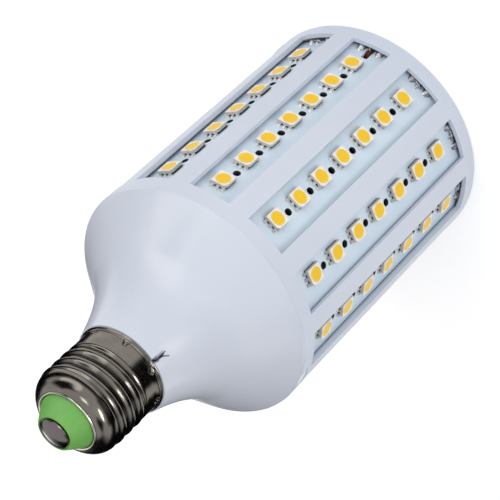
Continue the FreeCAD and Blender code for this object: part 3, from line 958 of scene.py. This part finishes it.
def board_finish():
    """Solder mask over copper, which is raised except in thin gaps: one along each side, copper_half from the
    middle, and one across in every pitch. The flat map gives millimetres across and along the board."""
    inputs = {"IOR": 1.52, "Coat Weight": 0.2, "Coat Roughness": 0.15}
    finish, shader = new_finish("board solder mask", inputs)
    flat = add(finish, "ShaderNodeUVMap", uv_map="flat").outputs["UV"]
    across = add(finish, "ShaderNodeSeparateXYZ", {0: flat}).outputs
    side = calculate(finish, "ABSOLUTE", calculate(finish, "MULTIPLY", across["X"], map_unit))
    along = calculate(finish, "MULTIPLY", across["Y"], map_unit)
    from_line = calculate(finish, "ABSOLUTE", calculate(finish, "SUBTRACT", side, copper_half))
    cell = calculate(finish, "MODULO", calculate(finish, "ADD", along, led_pitch * 4), led_pitch)
    from_row = calculate(finish, "ABSOLUTE", calculate(finish, "SUBTRACT", cell, led_pitch / 2))
    gap_side = spread(finish, from_line, 0.0, 1.0, *copper_gap)
    gap_row = spread(finish, from_row, 0.0, 1.0, *copper_gap)
    outside = spread(finish, side, 0.0, 1.0, copper_half - 0.05, copper_half + 0.05)
    copper = calculate(finish, "MINIMUM", gap_side, calculate(finish, "MAXIMUM", gap_row, outside))
    tone = blend(finish, mottled(finish, 70.0, 0.0, 1.0), (214, 229, 242), (207, 223, 237))
    tone = blend(finish, calculate(finish, "MULTIPLY", copper, 0.35), tone, (217, 230, 242))
    skin = bump(finish, noise(finish, 1800.0, detail=1.0), 0.000006)
    skin = bump(finish, copper, 0.00002, 0.35, skin)
    return dress(finish, shader, tone, mottled(finish, 400.0, 0.30, 0.42), skin)


solder_mask = board_finish()
# A dark grey for laminate, used as painted shade in the vent holes and on the end disc's upper face.
laminate_painted_shade = plain_finish("laminate, painted shade", (70, 70, 72), (52, 50, 50), 0.6, 900.0, 0.00001)
print("board finishes ready")


# %% [markdown]
# A board is a plain bar with a round hole midway between each two packages. Around a hole the face is a
# grid that blends from the circle to the rectangle of its cell: along the cell's border the points are
# evenly spaced, and each is joined to the point of the circle in the same direction.

# %% Cells of a board
hole_radius = 1.04
cell_steps = 12
lead_notch_half, lead_notch_depth = 1.0, 4.6
notched_strip = 2


def border_points(half_width, low, high, per_side):
    """Evenly spaced points round a rectangle, corners included, as (across, along)."""
    t = np.linspace(0, 1, per_side, endpoint=False)
    one = np.ones_like(t)
    width, length = 2 * half_width, high - low
    return np.concatenate([
        np.stack([-half_width + width * t, low * one], -1),
        np.stack([half_width * one, low + length * t], -1),
        np.stack([half_width - width * t, high * one], -1),
        np.stack([-half_width * one, high - length * t], -1),
    ])


def hole_cell(middle):
    """A cell of the board with its hole: the front rings of faces, the hole's wall, and the back ring."""
    border = border_points(board_half, middle - led_pitch / 2, middle + led_pitch / 2, cell_steps)
    out = border - [0, middle]
    circle = out / np.linalg.norm(out, axis=1, keepdims=True) * hole_radius
    rings = [
        (border, board_face),
        ((border + circle + [0, middle]) / 2, board_face),
        (circle * 1.35 + [0, middle], board_face),
        (circle * 1.06 + [0, middle], board_face),
        (circle + [0, middle], board_face - 0.05),
        (circle + [0, middle], board_back),
        (border, board_back),
    ]
    points = np.concatenate([lifted(ring, depth) for ring, depth in rings])
    return points, grid_faces(len(rings), len(border), close_columns=True).tolist()


def end_cell(low, high, notched):
    """A plain stretch at an end of the board: a small grid of front and back, less the notch if there is
    one."""
    across = np.linspace(-board_half, board_half, cell_steps + 1)
    along = np.array([low, high])
    if notched:
        across = np.sort(np.concatenate([across[np.abs(across) > 1.3], [-lead_notch_half, lead_notch_half]]))
        along = np.array([low, board_low + lead_notch_depth, high])
    grid = np.stack(np.meshgrid(across, along), -1)
    kept = np.ones((len(along) - 1, len(across) - 1), bool)
    if notched:
        kept[0] = np.abs((across[1:] + across[:-1]) / 2) > lead_notch_half
    front = np.dstack([grid, np.full(grid.shape[:2], board_face)])
    back = np.dstack([grid, np.full(grid.shape[:2], board_back)])
    return closed_wall(front, back, kept)


def board_sides(low, high):
    """The two long edges of the board between its ends, in steps that meet the cells' borders."""
    along = np.linspace(low, high, (led_rows - 1) * cell_steps + 1)
    parts = []
    for side in (-board_half, board_half):
        depth = np.array([board_face, board_back])
        grid = np.stack(np.broadcast_arrays(side, along[None], depth[:, None]), -1)
        parts.append((grid.reshape(-1, 3), grid_faces(2, len(along)).tolist()))
    return parts


print("cells with a hole", led_rows - 1, "on a strip, hole radius", hole_radius)


# %% [markdown]
# The cells are laid out flat, with coordinates across, along and out of the board, and each strip is then
# stood up at its place round the bulb. The walls of the holes get a dark grey laminate colour, a painted
# shade for the dark inside of each hole.

# %% Boards round the bulb
def stand_up(points, number):
    """Turns board coordinates (across, along, depth) into the place of a strip round the bulb."""
    upright = np.stack([points[:, 2], points[:, 0], points[:, 1]], -1)
    return turned(upright, strip_angle(number))


def make_board(number):
    """One strip board: end stretches, six holed cells and the long edges, closed into one bar."""
    blocks = [end_cell(board_low, first_led, number == notched_strip), end_cell(last_led, board_high, False)]
    for row in range(led_rows - 1):
        blocks.append(hole_cell(first_led + (row + 0.5) * led_pitch))
    blocks += board_sides(first_led, last_led)
    parts, maps = [], []
    for points, faces in blocks:
        parts.append((stand_up(points, number), faces, 0))
        maps.append(points[:, :2] / map_unit)
    piece = make_piece("board_%02d" % number, parts, [solder_mask, laminate_painted_shade],
                       ["strip_board_%02d" % number], uv=np.concatenate(maps))
    darken_holes(piece, number)


def darken_holes(piece, number):
    """Gives the walls of the holes the dark laminate finish, a painted shade: faces whose middle lies behind
    the front.
    """
    middle = turned(read_places(piece.data.polygons, "center"), -strip_angle(number))
    inside = (middle[:, 0] < board_face - 0.01) & (middle[:, 0] > board_back + 0.01)
    inside &= np.abs(middle[:, 1]) < hole_radius + 0.01
    inside &= (middle[:, 2] > first_led) & (middle[:, 2] < last_led)
    piece.data.polygons.foreach_set("material_index", inside.astype(np.int32))


for number in range(1, strip_count + 1):
    make_board(number)


# %% [markdown]
# ## LED packages
# Each package is a square white housing with one corner cut off as its mark. A round cup in its top is
# filled with phosphor in clear silicone, which reads as a yellow disc, a little deeper in the middle.
# Three tinned leads come out of two opposite sides and fold down to solder on the board. One package is
# worked out once, as rings of points from the foot up the walls, over the top edge, into the cup and
# across the phosphor, and is then copied to every place by adding arrays.

# %% LED finishes
def phosphor_finish():
    """Yellow phosphor under silicone: deeper in the middle, with fine grains, and a soft gloss on top."""
    finish, shader = new_finish("phosphor yellow", {"IOR": 1.41, "Coat Weight": 0.15, "Coat Roughness": 0.2})
    flat = add(finish, "ShaderNodeUVMap", uv_map="flat").outputs["UV"]
    reach = add(finish, "ShaderNodeVectorMath", {0: flat}, operation="LENGTH").outputs["Value"]
    ring = spread(finish, reach, 0.0, 1.0, 0.0145, 0.0215)
    body = blend(finish, ring, (250, 203, 8), (244, 212, 88))
    body = blend(finish, mottled(finish, 5200.0, 0.0, 0.25, detail=2.0), body, (238, 171, 4))
    grain = bump(finish, noise(finish, 6000.0, detail=1.0), 0.000006)
    return dress(finish, shader, body, mottled(finish, 3000.0, 0.32, 0.45), grain)


package_finishes = [
    plain_finish("package cream housing", (245, 241, 233), (238, 233, 223), 0.42, 700.0, 0.000006),
    phosphor_finish(),
    plain_finish("tinned lead", (236, 236, 235), (196, 195, 194), 0.26, 1900.0, 0.00002, 0.6),
    # The foot's near-black and the sides' grey are painted shade under the housing and on its walls.
    plain_finish("package foot, painted shade", (44, 43, 44), (24, 23, 24), 0.5, 1300.0, 0.00001),
    plain_finish("package side, painted shade", (208, 205, 199), (190, 187, 181), 0.5, 800.0, 0.00001),
]
cream, yellow, tin, foot_painted_shade, side_painted_shade = range(5)


# %% [markdown]
# The housing is a stack of rings, and each ring has the same number of points, so the faces between two
# rings are a plain grid. A ring also says which finish the faces above it have: a near-black painted shade
# at the foot, a grey painted shade on the sides, cream on top, yellow in the cup. The leads are flat
# outlines carried across their width, as strip is bent.

# %% One package
led_notch = 0.8
border_steps = 7
foot_scale, waist_scale, top_scale = 0.94, 0.985, 0.955
well_radius, phosphor_radius, phosphor_drop = 2.20, 2.11, 0.125
pin_spacing, pin_width = 1.70, 0.84


def package_border(per_side):
    """Evenly spaced points round the housing's outline, with one corner cut off."""
    half = led_side / 2
    corners = np.array([(-half, -half), (half, -half), (half, half), (-half + led_notch, half),
                        (-half, half - led_notch)])
    ends = np.roll(corners, -1, axis=0)
    counts = [per_side, per_side, per_side, 2, per_side]
    lines = []
    for start, end, count in zip(corners, ends, counts):
        t = np.linspace(0, 1, count, endpoint=False)[:, None]
        lines.append(start + (end - start) * t)
    return np.concatenate(lines)


def package_rings():
    """Rings of (points, height, finish of the faces above it), from the foot to the middle of the phosphor.
    The foot is set in and carries a near-black painted shade for the gap under the housing, and the walls a
    grey painted shade."""
    border = package_border(border_steps)
    circle = border / np.linalg.norm(border, axis=1, keepdims=True)
    rings = [
        (border * foot_scale, 0.06, foot_painted_shade),
        (border * foot_scale, 0.56, foot_painted_shade),
        (border * waist_scale, 0.60, side_painted_shade),
        (border, 0.68, side_painted_shade),
        (border * waist_scale, led_height - 0.12, cream),
        (border * top_scale, led_height, cream),
        (circle * well_radius, led_height, cream),
        (circle * phosphor_radius, led_height - 0.06, yellow),
        (circle * 1.5, led_height - 0.10, yellow),
        (circle * 0.8, led_height - 0.12, yellow),
        (circle * 0.0, led_height - phosphor_drop, yellow),
    ]
    points = np.concatenate([lifted(ring, height) for ring, height, _ in rings])
    faces = grid_faces(len(rings), len(border), close_columns=True)
    finish = np.repeat([number for _, _, number in rings[:-1]], len(border))
    foot = [list(range(len(border)))[::-1]]
    return points, faces, finish, foot


def package_leads():
    """Six folded leads, each a short outline of (out, height) carried across its width, with its solder."""
    half = led_side / 2
    lead = np.array([(half - 0.35, 0.72), (half + 0.05, 0.70), (half + 0.16, 0.60), (half + 0.20, 0.40),
                     (half + 0.34, 0.24), (half + 0.62, 0.16), (half + 0.86, 0.05), (half + 0.90, 0.0),
                     (half - 0.35, 0.0)])
    parts = []
    for side in (1, -1):
        for across in (-pin_spacing, 0.0, pin_spacing):
            start = np.full(len(lead), across - pin_width / 2)
            flat = np.column_stack([start, side * lead[:, 0], lead[:, 1]])
            parts.append(extruded(flat, (pin_width, 0, 0)))
    return parts


package_points, package_faces, package_finish, package_foot = package_rings()
lead_parts = package_leads()
print("package", len(package_points), "points,", len(lead_parts), "leads")


# %% [markdown]
# Eighty-four packages stand on the strips, all alike. Adding a row of places to one set of points gives
# every copy at once, and the faces are shifted by whole copies to go with them. Each row is one piece with
# one object, which keeps the list of objects short.

# %% Rows of packages
def copies(points, faces, places):
    """The same surface at many places: its points plus each place, and its faces shifted by whole copies."""
    many = (points[None] + places[:, None]).reshape(-1, 3)
    shifts = range(0, len(many), len(points))
    return many, [[corner + shift for corner in face] for shift in shifts for face in faces]


def package_blocks(places):
    """All packages at the given places, as (points, faces, finish), in board coordinates (across, along,
    depth). Surfaces with different finishes are separate here and share their points again once merged."""
    blocks = []
    for number in (cream, yellow, foot_painted_shade, side_painted_shade):
        chosen = package_faces[package_finish == number].tolist()
        if number == foot_painted_shade:
            chosen += package_foot
        blocks.append((*copies(package_points, chosen, places), number))
    for points, faces in lead_parts:
        blocks.append((*copies(points, faces, places), tin))
    return blocks


def make_packages(name, places, to_place, stands_for):
    """A piece of packages. to_place turns board coordinates into the bulb's, and the flat map holds each
    point's place within its own package."""
    parts, maps = [], []
    for points, faces, number in package_blocks(places):
        parts.append((to_place(points), faces, number))
        middle = np.repeat(places[:, :2], len(points) // len(places), axis=0)
        maps.append((points[:, :2] - middle) / map_unit)
    piece = make_piece(name, parts, package_finishes, stands_for, uv=np.concatenate(maps))


row_places = np.array([(led_offset, first_led + row * led_pitch, board_face) for row in range(led_rows)])
for number in range(1, strip_count + 1):
    make_packages("packages_%02d" % number, row_places, lambda points, n=number: stand_up(points, n),
                  ["strip_leds_%02d" % number])


# %% [markdown]
# ## The head end
# A round board closes the head end, set a little way in, with packages of its own in two rings that shine
# downwards as the bulb stands. Its board coordinates are turned over so that its front looks down. The
# upper face gets the dark laminate finish as a painted shade, which shows as a dark line behind the solder
# at the foot of each window.

# %% End board and its packages
def look_down(points):
    """Board coordinates with the front turned down: the depth is subtracted from the end board's low face."""
    return np.stack([points[:, 0], -points[:, 1], end_board_low - points[:, 2]], -1)


def ring_places(count, radius):
    """Evenly spaced places on a circle."""
    angle = np.arange(count) * 2 * np.pi / count
    return np.stack([radius * np.cos(angle), radius * np.sin(angle), np.zeros(count)], -1)


outer_ring, inner_ring = 26.5, 12.5
end_places = np.concatenate([ring_places(12, outer_ring), ring_places(6, inner_ring)])
make_packages("packages_end", end_places, look_down, ["end_leds"])

disc_edge = end_board_radius - 0.25
disc_steps, low_rings, top_rings = 144, 8, 4
end_outline = rounded([
    (0, end_board_low, 0),
    (disc_edge, end_board_low, 0.1),
    (disc_edge, end_board_top, 0.1),
    (0, end_board_top, 0),
], steps=3)
rings = np.concatenate([
    np.linspace([0, end_board_low], end_outline[1], low_rings, endpoint=False),
    end_outline[1:-1],
    np.linspace(end_outline[-2], [0, end_board_top], top_rings),
])
points, faces = revolved(rings, disc_steps, closed=False)
top_faces = disc_steps * top_rings
# The upper face takes the dark laminate finish as a painted shade.
parts = [(points, faces[:-top_faces], 0), (points, faces[-top_faces:], 1)]
end_board = make_piece("end_disc", parts, [solder_mask, laminate_painted_shade], ["end_board"],
                       uv=np.tile(points[:, :2] / map_unit, (2, 1)))


# %% [markdown]
# ## Solder joints at the head end
# Each strip is soldered to the end board at three pads. Hand soldering leaves a shiny heap over each pad,
# concave where it wets the two boards, and no two heaps are alike. A heap is a quarter-round grid: its
# outline runs from high on the strip to far out on the end board, and its height over the corner follows a
# hollow curve and a small random change that is the same every time.

# %% Solder heaps
joint_offsets = (-2.9, 0.4, 3.0)
joint_widths = (2.7, 1.5, 2.4)
joint_rise, joint_reach = 2.25, 1.3
heap_columns, heap_rows = 13, 9
heap_hollow, heap_taper, heap_lift = 0.22, 0.15, 0.02
joint_wire_radius = 0.27
solder_metal = plain_finish("bright solder", (236, 236, 238), (150, 150, 154), 0.2, 1300.0, 0.00006, 0.85)
chance = np.random.default_rng(7)


def solder_heap(offset, width, reach, rise):
    """A heap in the corner of two boards, as (across, along, depth). Across its width it swells like a half
    circle, and round the corner its outline is a hollow quarter circle."""
    across = np.linspace(-1, 1, heap_columns)
    around = np.linspace(0, np.pi / 2, heap_rows)[:, None]
    swell = np.sqrt(np.clip(1 - across ** 2, 0, 1))[None]
    hollow = 1 - heap_hollow * np.sin(2 * around)
    out = reach * np.sin(around) * swell * hollow
    up = rise * np.cos(around) * swell * hollow
    side = offset + width / 2 * across[None] * (1 - heap_taper + heap_taper * np.cos(around))
    foot = end_board_top + heap_lift
    points = np.stack([side, foot + up, board_face + out], -1)
    corner = np.stack(np.broadcast_arrays(side[-1], foot, board_face), -1)
    points = np.concatenate([points.reshape(-1, 3), corner])
    return points, grid_faces(heap_rows + 1, heap_columns, close_rows=True).tolist()


def make_joints():
    """All heaps, and the short wire that stands in the middle one."""
    parts = []
    for number in range(1, strip_count + 1):
        for offset, width in zip(joint_offsets, joint_widths):
            if number == notched_strip and abs(offset) < lead_notch_half:
                continue
            change = chance.uniform(-0.12, 0.12, 4)
            heap, faces = solder_heap(offset + change[1], width * (1 + change[0]),
                                      joint_reach + change[2], joint_rise * (1 + change[3]))
            parts.append((stand_up(heap, number), faces, 0))
            if abs(offset) < 1:
                path = np.array([(offset - 1.2, board_low + 1.3, board_face + 0.2),
                                 (offset - 0.2, board_low + 1.2, board_face + 0.75),
                                 (offset + 1.5, board_low + 0.5, board_face + 0.55)])
                wire, faces = tube(bowed(path, 12), joint_wire_radius, 8)
                parts.append((stand_up(wire, number), faces, 0))
    piece = make_piece("solder_heaps", parts, [solder_metal], ["solder_joints"], sharp=70.0)


make_joints()


# %% [markdown]
# ## Leads
# The bare neutral lead comes out under the shell's rim, and its end sticks out over the neck: pressed flat
# like a leaf, with one stray strand. The red plus lead comes up in the notch of strip 2. Both are circles
# carried along a smooth path. Under the rim the bare lead is three thinner circles that wind round it, and
# the leaf is a flattened circle whose size swells and shrinks along the way.

# %% Bare lead and its strands
strand_radius, strand_reach, strand_turns, strand_count = 0.15, 0.16, 3.5, 3
leaf_flatness, stray_radius = 0.6, 0.13
bare_dark = plain_finish("bare lead, dulled", (98, 96, 100), (62, 60, 65), 0.34, 1500.0, 0.00002, 1.0)


def strand(path, number):
    """One strand under the rim: a centre line that winds round the path, evenly apart from the others."""
    share = np.linspace(0, 1, len(path))
    angle = 2 * np.pi * (strand_turns * share + number / strand_count)
    return path + strand_reach * np.stack([np.cos(angle), np.sin(angle), 0 * angle], -1)


def make_neutral():
    """Three strands up to the rim, then the pressed, leaf-shaped end over the neck and one stray strand."""
    under = shell_rim - 0.6
    bundle = route([
        (2.7, lead_angle, shell_rim + 12.5),
        (7.0, lead_angle, shell_rim + 6.6),
        (11.6, lead_angle, under + 0.7),
        (13.2, lead_angle, under - 0.02),
        (14.3, lead_angle, under - 0.05),
    ], 70)
    parts = [(*tube(strand(bundle, number), strand_radius, 8), 0) for number in range(strand_count)]
    leaf = route([
        (14.0, lead_angle, under + 0.10),
        (14.9, lead_angle + 0.2, under - 0.6),
        (15.4, lead_angle + 1.0, under - 1.8),
        (15.9, lead_angle + 2.0, under - 3.0),
    ], 24)
    share = np.linspace(0, 1, len(leaf))
    width = 0.20 + 0.36 * np.sin(np.pi * share ** 0.8) ** 1.5
    parts.append((*tube(leaf, width, 12, leaf_flatness), 0))
    stray = route([
        (14.9, lead_angle - 0.3, under - 0.8),
        (15.5, lead_angle - 0.9, under - 1.9),
        (16.0, lead_angle - 2.6, under - 2.5),
        (16.2, lead_angle - 3.4, under - 3.0),
    ], 20)
    parts.append((*tube(stray, stray_radius, 8), 0))
    piece = make_piece("neutral_strands", parts, [bare_dark], ["neutral_lead"], sharp=70.0)


make_neutral()


# %% [markdown]
# The red lead is thicker: a round sheath with a bare, tinned core at its end. It hangs in a slack bow from
# the driver board to the notch, where only its last few millimetres are seen.

# %% Red plus lead
thick_radius, core_radius = 0.7, 0.28
red_sheath = plain_finish("red lead sheath", (120, 22, 26), (94, 14, 18), 0.36, 500.0, 0.00001)
copper_core = plain_finish("tinned core", (196, 180, 160), (150, 130, 112), 0.3, 1500.0, 0.00001, 1.0)


def make_plus():
    """The lead from the driver board down and out through the notch, and the bare core at its end."""
    angle = strip_angle(notched_strip)
    exit_height = end_board_top + 2 * thick_radius
    (_, _, driver_low), (driver_side, _, _) = low_high("driver_board")
    side = driver_side - 2.8
    places = np.array([
        (side, -1.5, driver_low + 6.0),
        (side + 0.6, -3.5, driver_low - 16.0),
        (side + 1.5, -9.5, 45.0),
        (side + 3.4, -16.5, 24.0),
        polar(board_back - 5.6, angle, exit_height + 8.0),
        polar(board_back - 2.0, angle, exit_height + 1.9),
        polar(board_face + 0.5, angle, exit_height),
    ])
    parts = [(*tube(bowed(places, 120), thick_radius, 14), 0)]
    core = route([
        (board_face + 0.2, angle, exit_height),
        (board_face + 0.9, angle, exit_height - 0.1),
        (board_face + 1.1, angle + 0.8, exit_height - 0.7),
    ], 12)
    parts.append((*tube(core, core_radius, 8), 1))
    piece = make_piece("plus_lead_red", parts, [red_sheath, copper_core], ["plus_lead"], sharp=70.0)


make_plus()


# %% [markdown]
# ## Parts inside
# The driver is closed in by the cup and the boards, so its solids keep their shape and only get their real
# finishes: green laminate, an ochre film capacitor, a dark sleeve on the smoothing capacitor, black epoxy,
# blue or green lacquer on the resistors, and black sheaths on the leads.

# %% Finishes for the carried-over solids
inner_finishes = {
    "driver_board": plain_finish("driver laminate", (46, 108, 62), (38, 92, 52), 0.35, 300.0, 0.00002),
    "film_capacitor": plain_finish("ochre dip", (190, 126, 40), (170, 108, 32), 0.3, 200.0, 0.00005),
    "smoothing_capacitor": plain_finish("dark sleeve", (30, 34, 48), (22, 25, 36), 0.32, 400.0, 0.00001),
    "bridge_rectifier": plain_finish("black epoxy", (34, 34, 35), (26, 26, 27), 0.55, 900.0, 0.00002),
    "bleed_resistors": plain_finish("blue lacquer", (96, 138, 160), (80, 120, 144), 0.3, 700.0, 0.00002),
    "fuse_resistor": plain_finish("green lacquer", (92, 130, 96), (78, 112, 82), 0.3, 700.0, 0.00002),
    "live_lead": plain_finish("black sheath", (26, 26, 27), (18, 18, 19), 0.4, 500.0, 0.00001),
    "minus_lead": plain_finish("black sheath, minus", (28, 28, 30), (20, 20, 21), 0.4, 500.0, 0.00001),
}
for node, finish in inner_finishes.items():
    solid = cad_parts[node]
    solid.data.materials.clear()
    solid.data.materials.append(finish)
print("finished", len(inner_finishes), "carried-over solids")


# %% [markdown]
# ## Floor, lamps and camera
# The bulb stands on a pale floor under soft lamps. The floor and the world are white to the camera and to
# reflections through Light Path, so the background is white without more light on the bulb, and the floor
# still takes the bulb's shadow.

# %% Floor and world
floor_size, floor_glow, world_light = 3000.0, 0.38, 0.63


def seen_directly(tree):
    """1 for rays from the camera, a mirror or glass, and 0 for the rays that light the bulb."""
    rays = add(tree, "ShaderNodeLightPath").outputs
    seen = calculate(tree, "MAXIMUM", rays["Is Camera Ray"], rays["Is Glossy Ray"])
    return calculate(tree, "MAXIMUM", seen, rays["Is Transmission Ray"])


def floor_finish():
    """Pale floor: plain diffuse white, with a little added white for camera and mirror rays only."""
    finish, output = bare_finish("pale floor")
    strength = calculate(finish, "MULTIPLY", seen_directly(finish), floor_glow)
    matt = add(finish, "ShaderNodeBsdfDiffuse", {"Color": (0.86, 0.86, 0.87, 1.0)})
    glow = add(finish, "ShaderNodeEmission", {"Color": (1, 1, 1, 1), "Strength": strength})
    both = add(finish, "ShaderNodeAddShader", {0: matt.outputs[0], 1: glow.outputs[0]})
    join(finish, both.outputs[0], output, "Surface")
    return finish


flat = np.array([(-1, -1, 0), (1, -1, 0), (1, 1, 0), (-1, 1, 0)]) * floor_size
floor = put_in_scene("floor", new_mesh("floor", flat, [[0, 1, 2, 3]], [floor_finish()]))

world = bpy.data.worlds.new("studio")
bpy.context.scene.world = world
world.use_nodes = True
background = world.node_tree.nodes["Background"]
background.inputs["Color"].default_value = (1.0, 1.0, 1.0, 1.0)
strength = calculate(world, "MULTIPLY", seen_directly(world), 1.0 - world_light)
join(world, calculate(world, "ADD", strength, world_light), background, "Strength")
print("floor of", floor_size * 2, "mm, world light", world_light)


# %% [markdown]
# A large soft key lamp stands on one side of the camera and a low side lamp on the other, so the walls of
# the windows get a light and a dark side. A long, narrow lamp gives the metal its bright streaks and is
# linked to the metal alone, so the glossy cup doesn't mirror it. A small one lights the cap from above,
# and a weak one lifts the far side. Their light and the world's add up to a plain level, at which a colour
# shows about as it was written.

# %% Lamps
bulb_middle = (0.0, 0.0, 80.0)
cap_middle = (0.0, 0.0, 130.0)


def lamp(name, place, aim, size, power):
    """An oval soft lamp at a place in millimetres, turned to face the aim. size is its width and height."""
    light = bpy.data.lights.new(name, "AREA")
    light.shape = "ELLIPSE"
    light.size = size[0] * mm
    light.size_y = size[1] * mm
    light.energy = power
    light_object = put_in_scene(name, light)
    direction = mathutils.Vector(aim) - mathutils.Vector(place)
    light_object.location = mathutils.Vector(place) * mm
    light_object.rotation_euler = direction.to_track_quat("-Z", "Y").to_euler()
    return light_object


lamp("key", (560.0, -300.0, 460.0), bulb_middle, (760.0, 600.0), 1.5)
streak = lamp("streak", (-460.0, -385.0, 640.0), bulb_middle, (380.0, 90.0), 1.2)
lamp("side", (-370.0, -600.0, 120.0), bulb_middle, (340.0, 260.0), 1.05)
lamp("back", (0.0, 640.0, 200.0), bulb_middle, (380.0, 300.0), 0.6)
lamp("cap", (60.0, -200.0, 760.0), cap_middle, (160.0, 160.0), 0.3)
metal_only = bpy.data.collections.new("lit by the streak lamp")
metal_only.objects.link(shell)
metal_only.objects.link(contact)
streak.light_linking.receiver_collection = metal_only


# %% [markdown]
# Bare metal shows whatever stands round it, and a shell in an all-white studio looks like grey plastic. A
# photographer puts dark cards beside it. Here a few curved cards do that. They fade out towards their
# edges, and they are seen in reflections only, so they take no light from the bulb and stay out of every
# view.

# %% Dark cards for the metal
def card_finish():
    """Black where the card's blackness is 1, clear where it is 0."""
    finish, output = bare_finish("dark card")
    blackness = add(finish, "ShaderNodeAttribute", attribute_name="blackness").outputs["Fac"]
    black = add(finish, "ShaderNodeBsdfDiffuse", {"Color": (0.01, 0.01, 0.01, 1.0)})
    clear = add(finish, "ShaderNodeBsdfTransparent")
    both = add(finish, "ShaderNodeMixShader", {0: blackness, 1: clear.outputs[0], 2: black.outputs[0]})
    join(finish, both.outputs[0], output, "Surface")
    return finish


def faded(values, ends, fade):
    """1 between two ends, rising from 0 at each of them over the fade."""
    low, high = ends
    return np.minimum(smooth_step(values, low, low + fade), 1 - smooth_step(values, high - fade, high))


def reflection_card(name, directions, heights, fade):
    """An upright card: part of a cylinder round the bulb. Its blackness rises from the sides over fade
    degrees, unless it goes all the way round, and from the top and bottom over card_fade millimetres."""
    angles = np.linspace(*directions, 49)
    levels = np.linspace(*heights, 17)
    points = polar(card_distance, angles[None], levels[:, None]).reshape(-1, 3)
    faces = grid_faces(len(levels), len(angles)).tolist()
    mesh = new_mesh(name, points, faces, [dark_card])
    whole_ring = directions[1] - directions[0] >= 360
    sideways = np.ones_like(angles) if whole_ring else faded(angles, directions, fade)
    upright = faded(levels, heights, card_fade)
    add_attribute(mesh, "blackness", (upright[:, None] * sideways[None]).ravel())
    card = put_in_scene(name, mesh)
    card.visible_camera = False
    card.visible_diffuse = False
    card.visible_transmission = False
    card.visible_volume_scatter = False
    card.visible_shadow = False


card_distance, card_fade = 150.0, 30.0
dark_card = card_finish()
reflection_card("dark_ring", (-180.0, 180.0), (88.0, 178.0), 1.0)
reflection_card("dark_card_right", (-172.0, -92.0), (-30.0, 215.0), 14.0)
reflection_card("dark_card_edge", (100.0, 176.0), (-30.0, 175.0), 10.0)
reflection_card("dark_card_left", (28.0, 84.0), (-30.0, 215.0), 14.0)
reflection_card("dark_card_back", (84.0, 176.0), (130.0, 290.0), 34.0)
reflection_card("dark_card_high", (-210.0, -150.0), (265.0, 470.0), 18.0)
reflection_card("dark_card_upper_left", (-48.0, 36.0), (195.0, 380.0), 22.0)
print("cards stand", card_distance, "mm from the axis")


# %% [markdown]
# The camera looks down at the cap end from the front, rolled so that the bulb runs corner to corner, as in
# the photograph. Its place, its three turns and its lens come from matching the grid of LEDs.

# %% Camera
camera_place = (6.098, -435.294, 414.954)
camera_turns = (-40.632, 34.149, -145.905)
lens, film_width = 144.84, 36.0
camera_data = bpy.data.cameras.new("camera")
camera_data.lens = lens
camera_data.sensor_width = film_width
camera_data.clip_end = 20.0
camera = put_in_scene("camera", camera_data)
camera.location = [value * mm for value in camera_place]
camera.rotation_euler = [math.radians(value) for value in camera_turns]
bpy.context.scene.camera = camera
bpy.context.scene.view_settings.view_transform = "Standard"
print("camera at", camera_place, "with a lens of", lens, "mm")
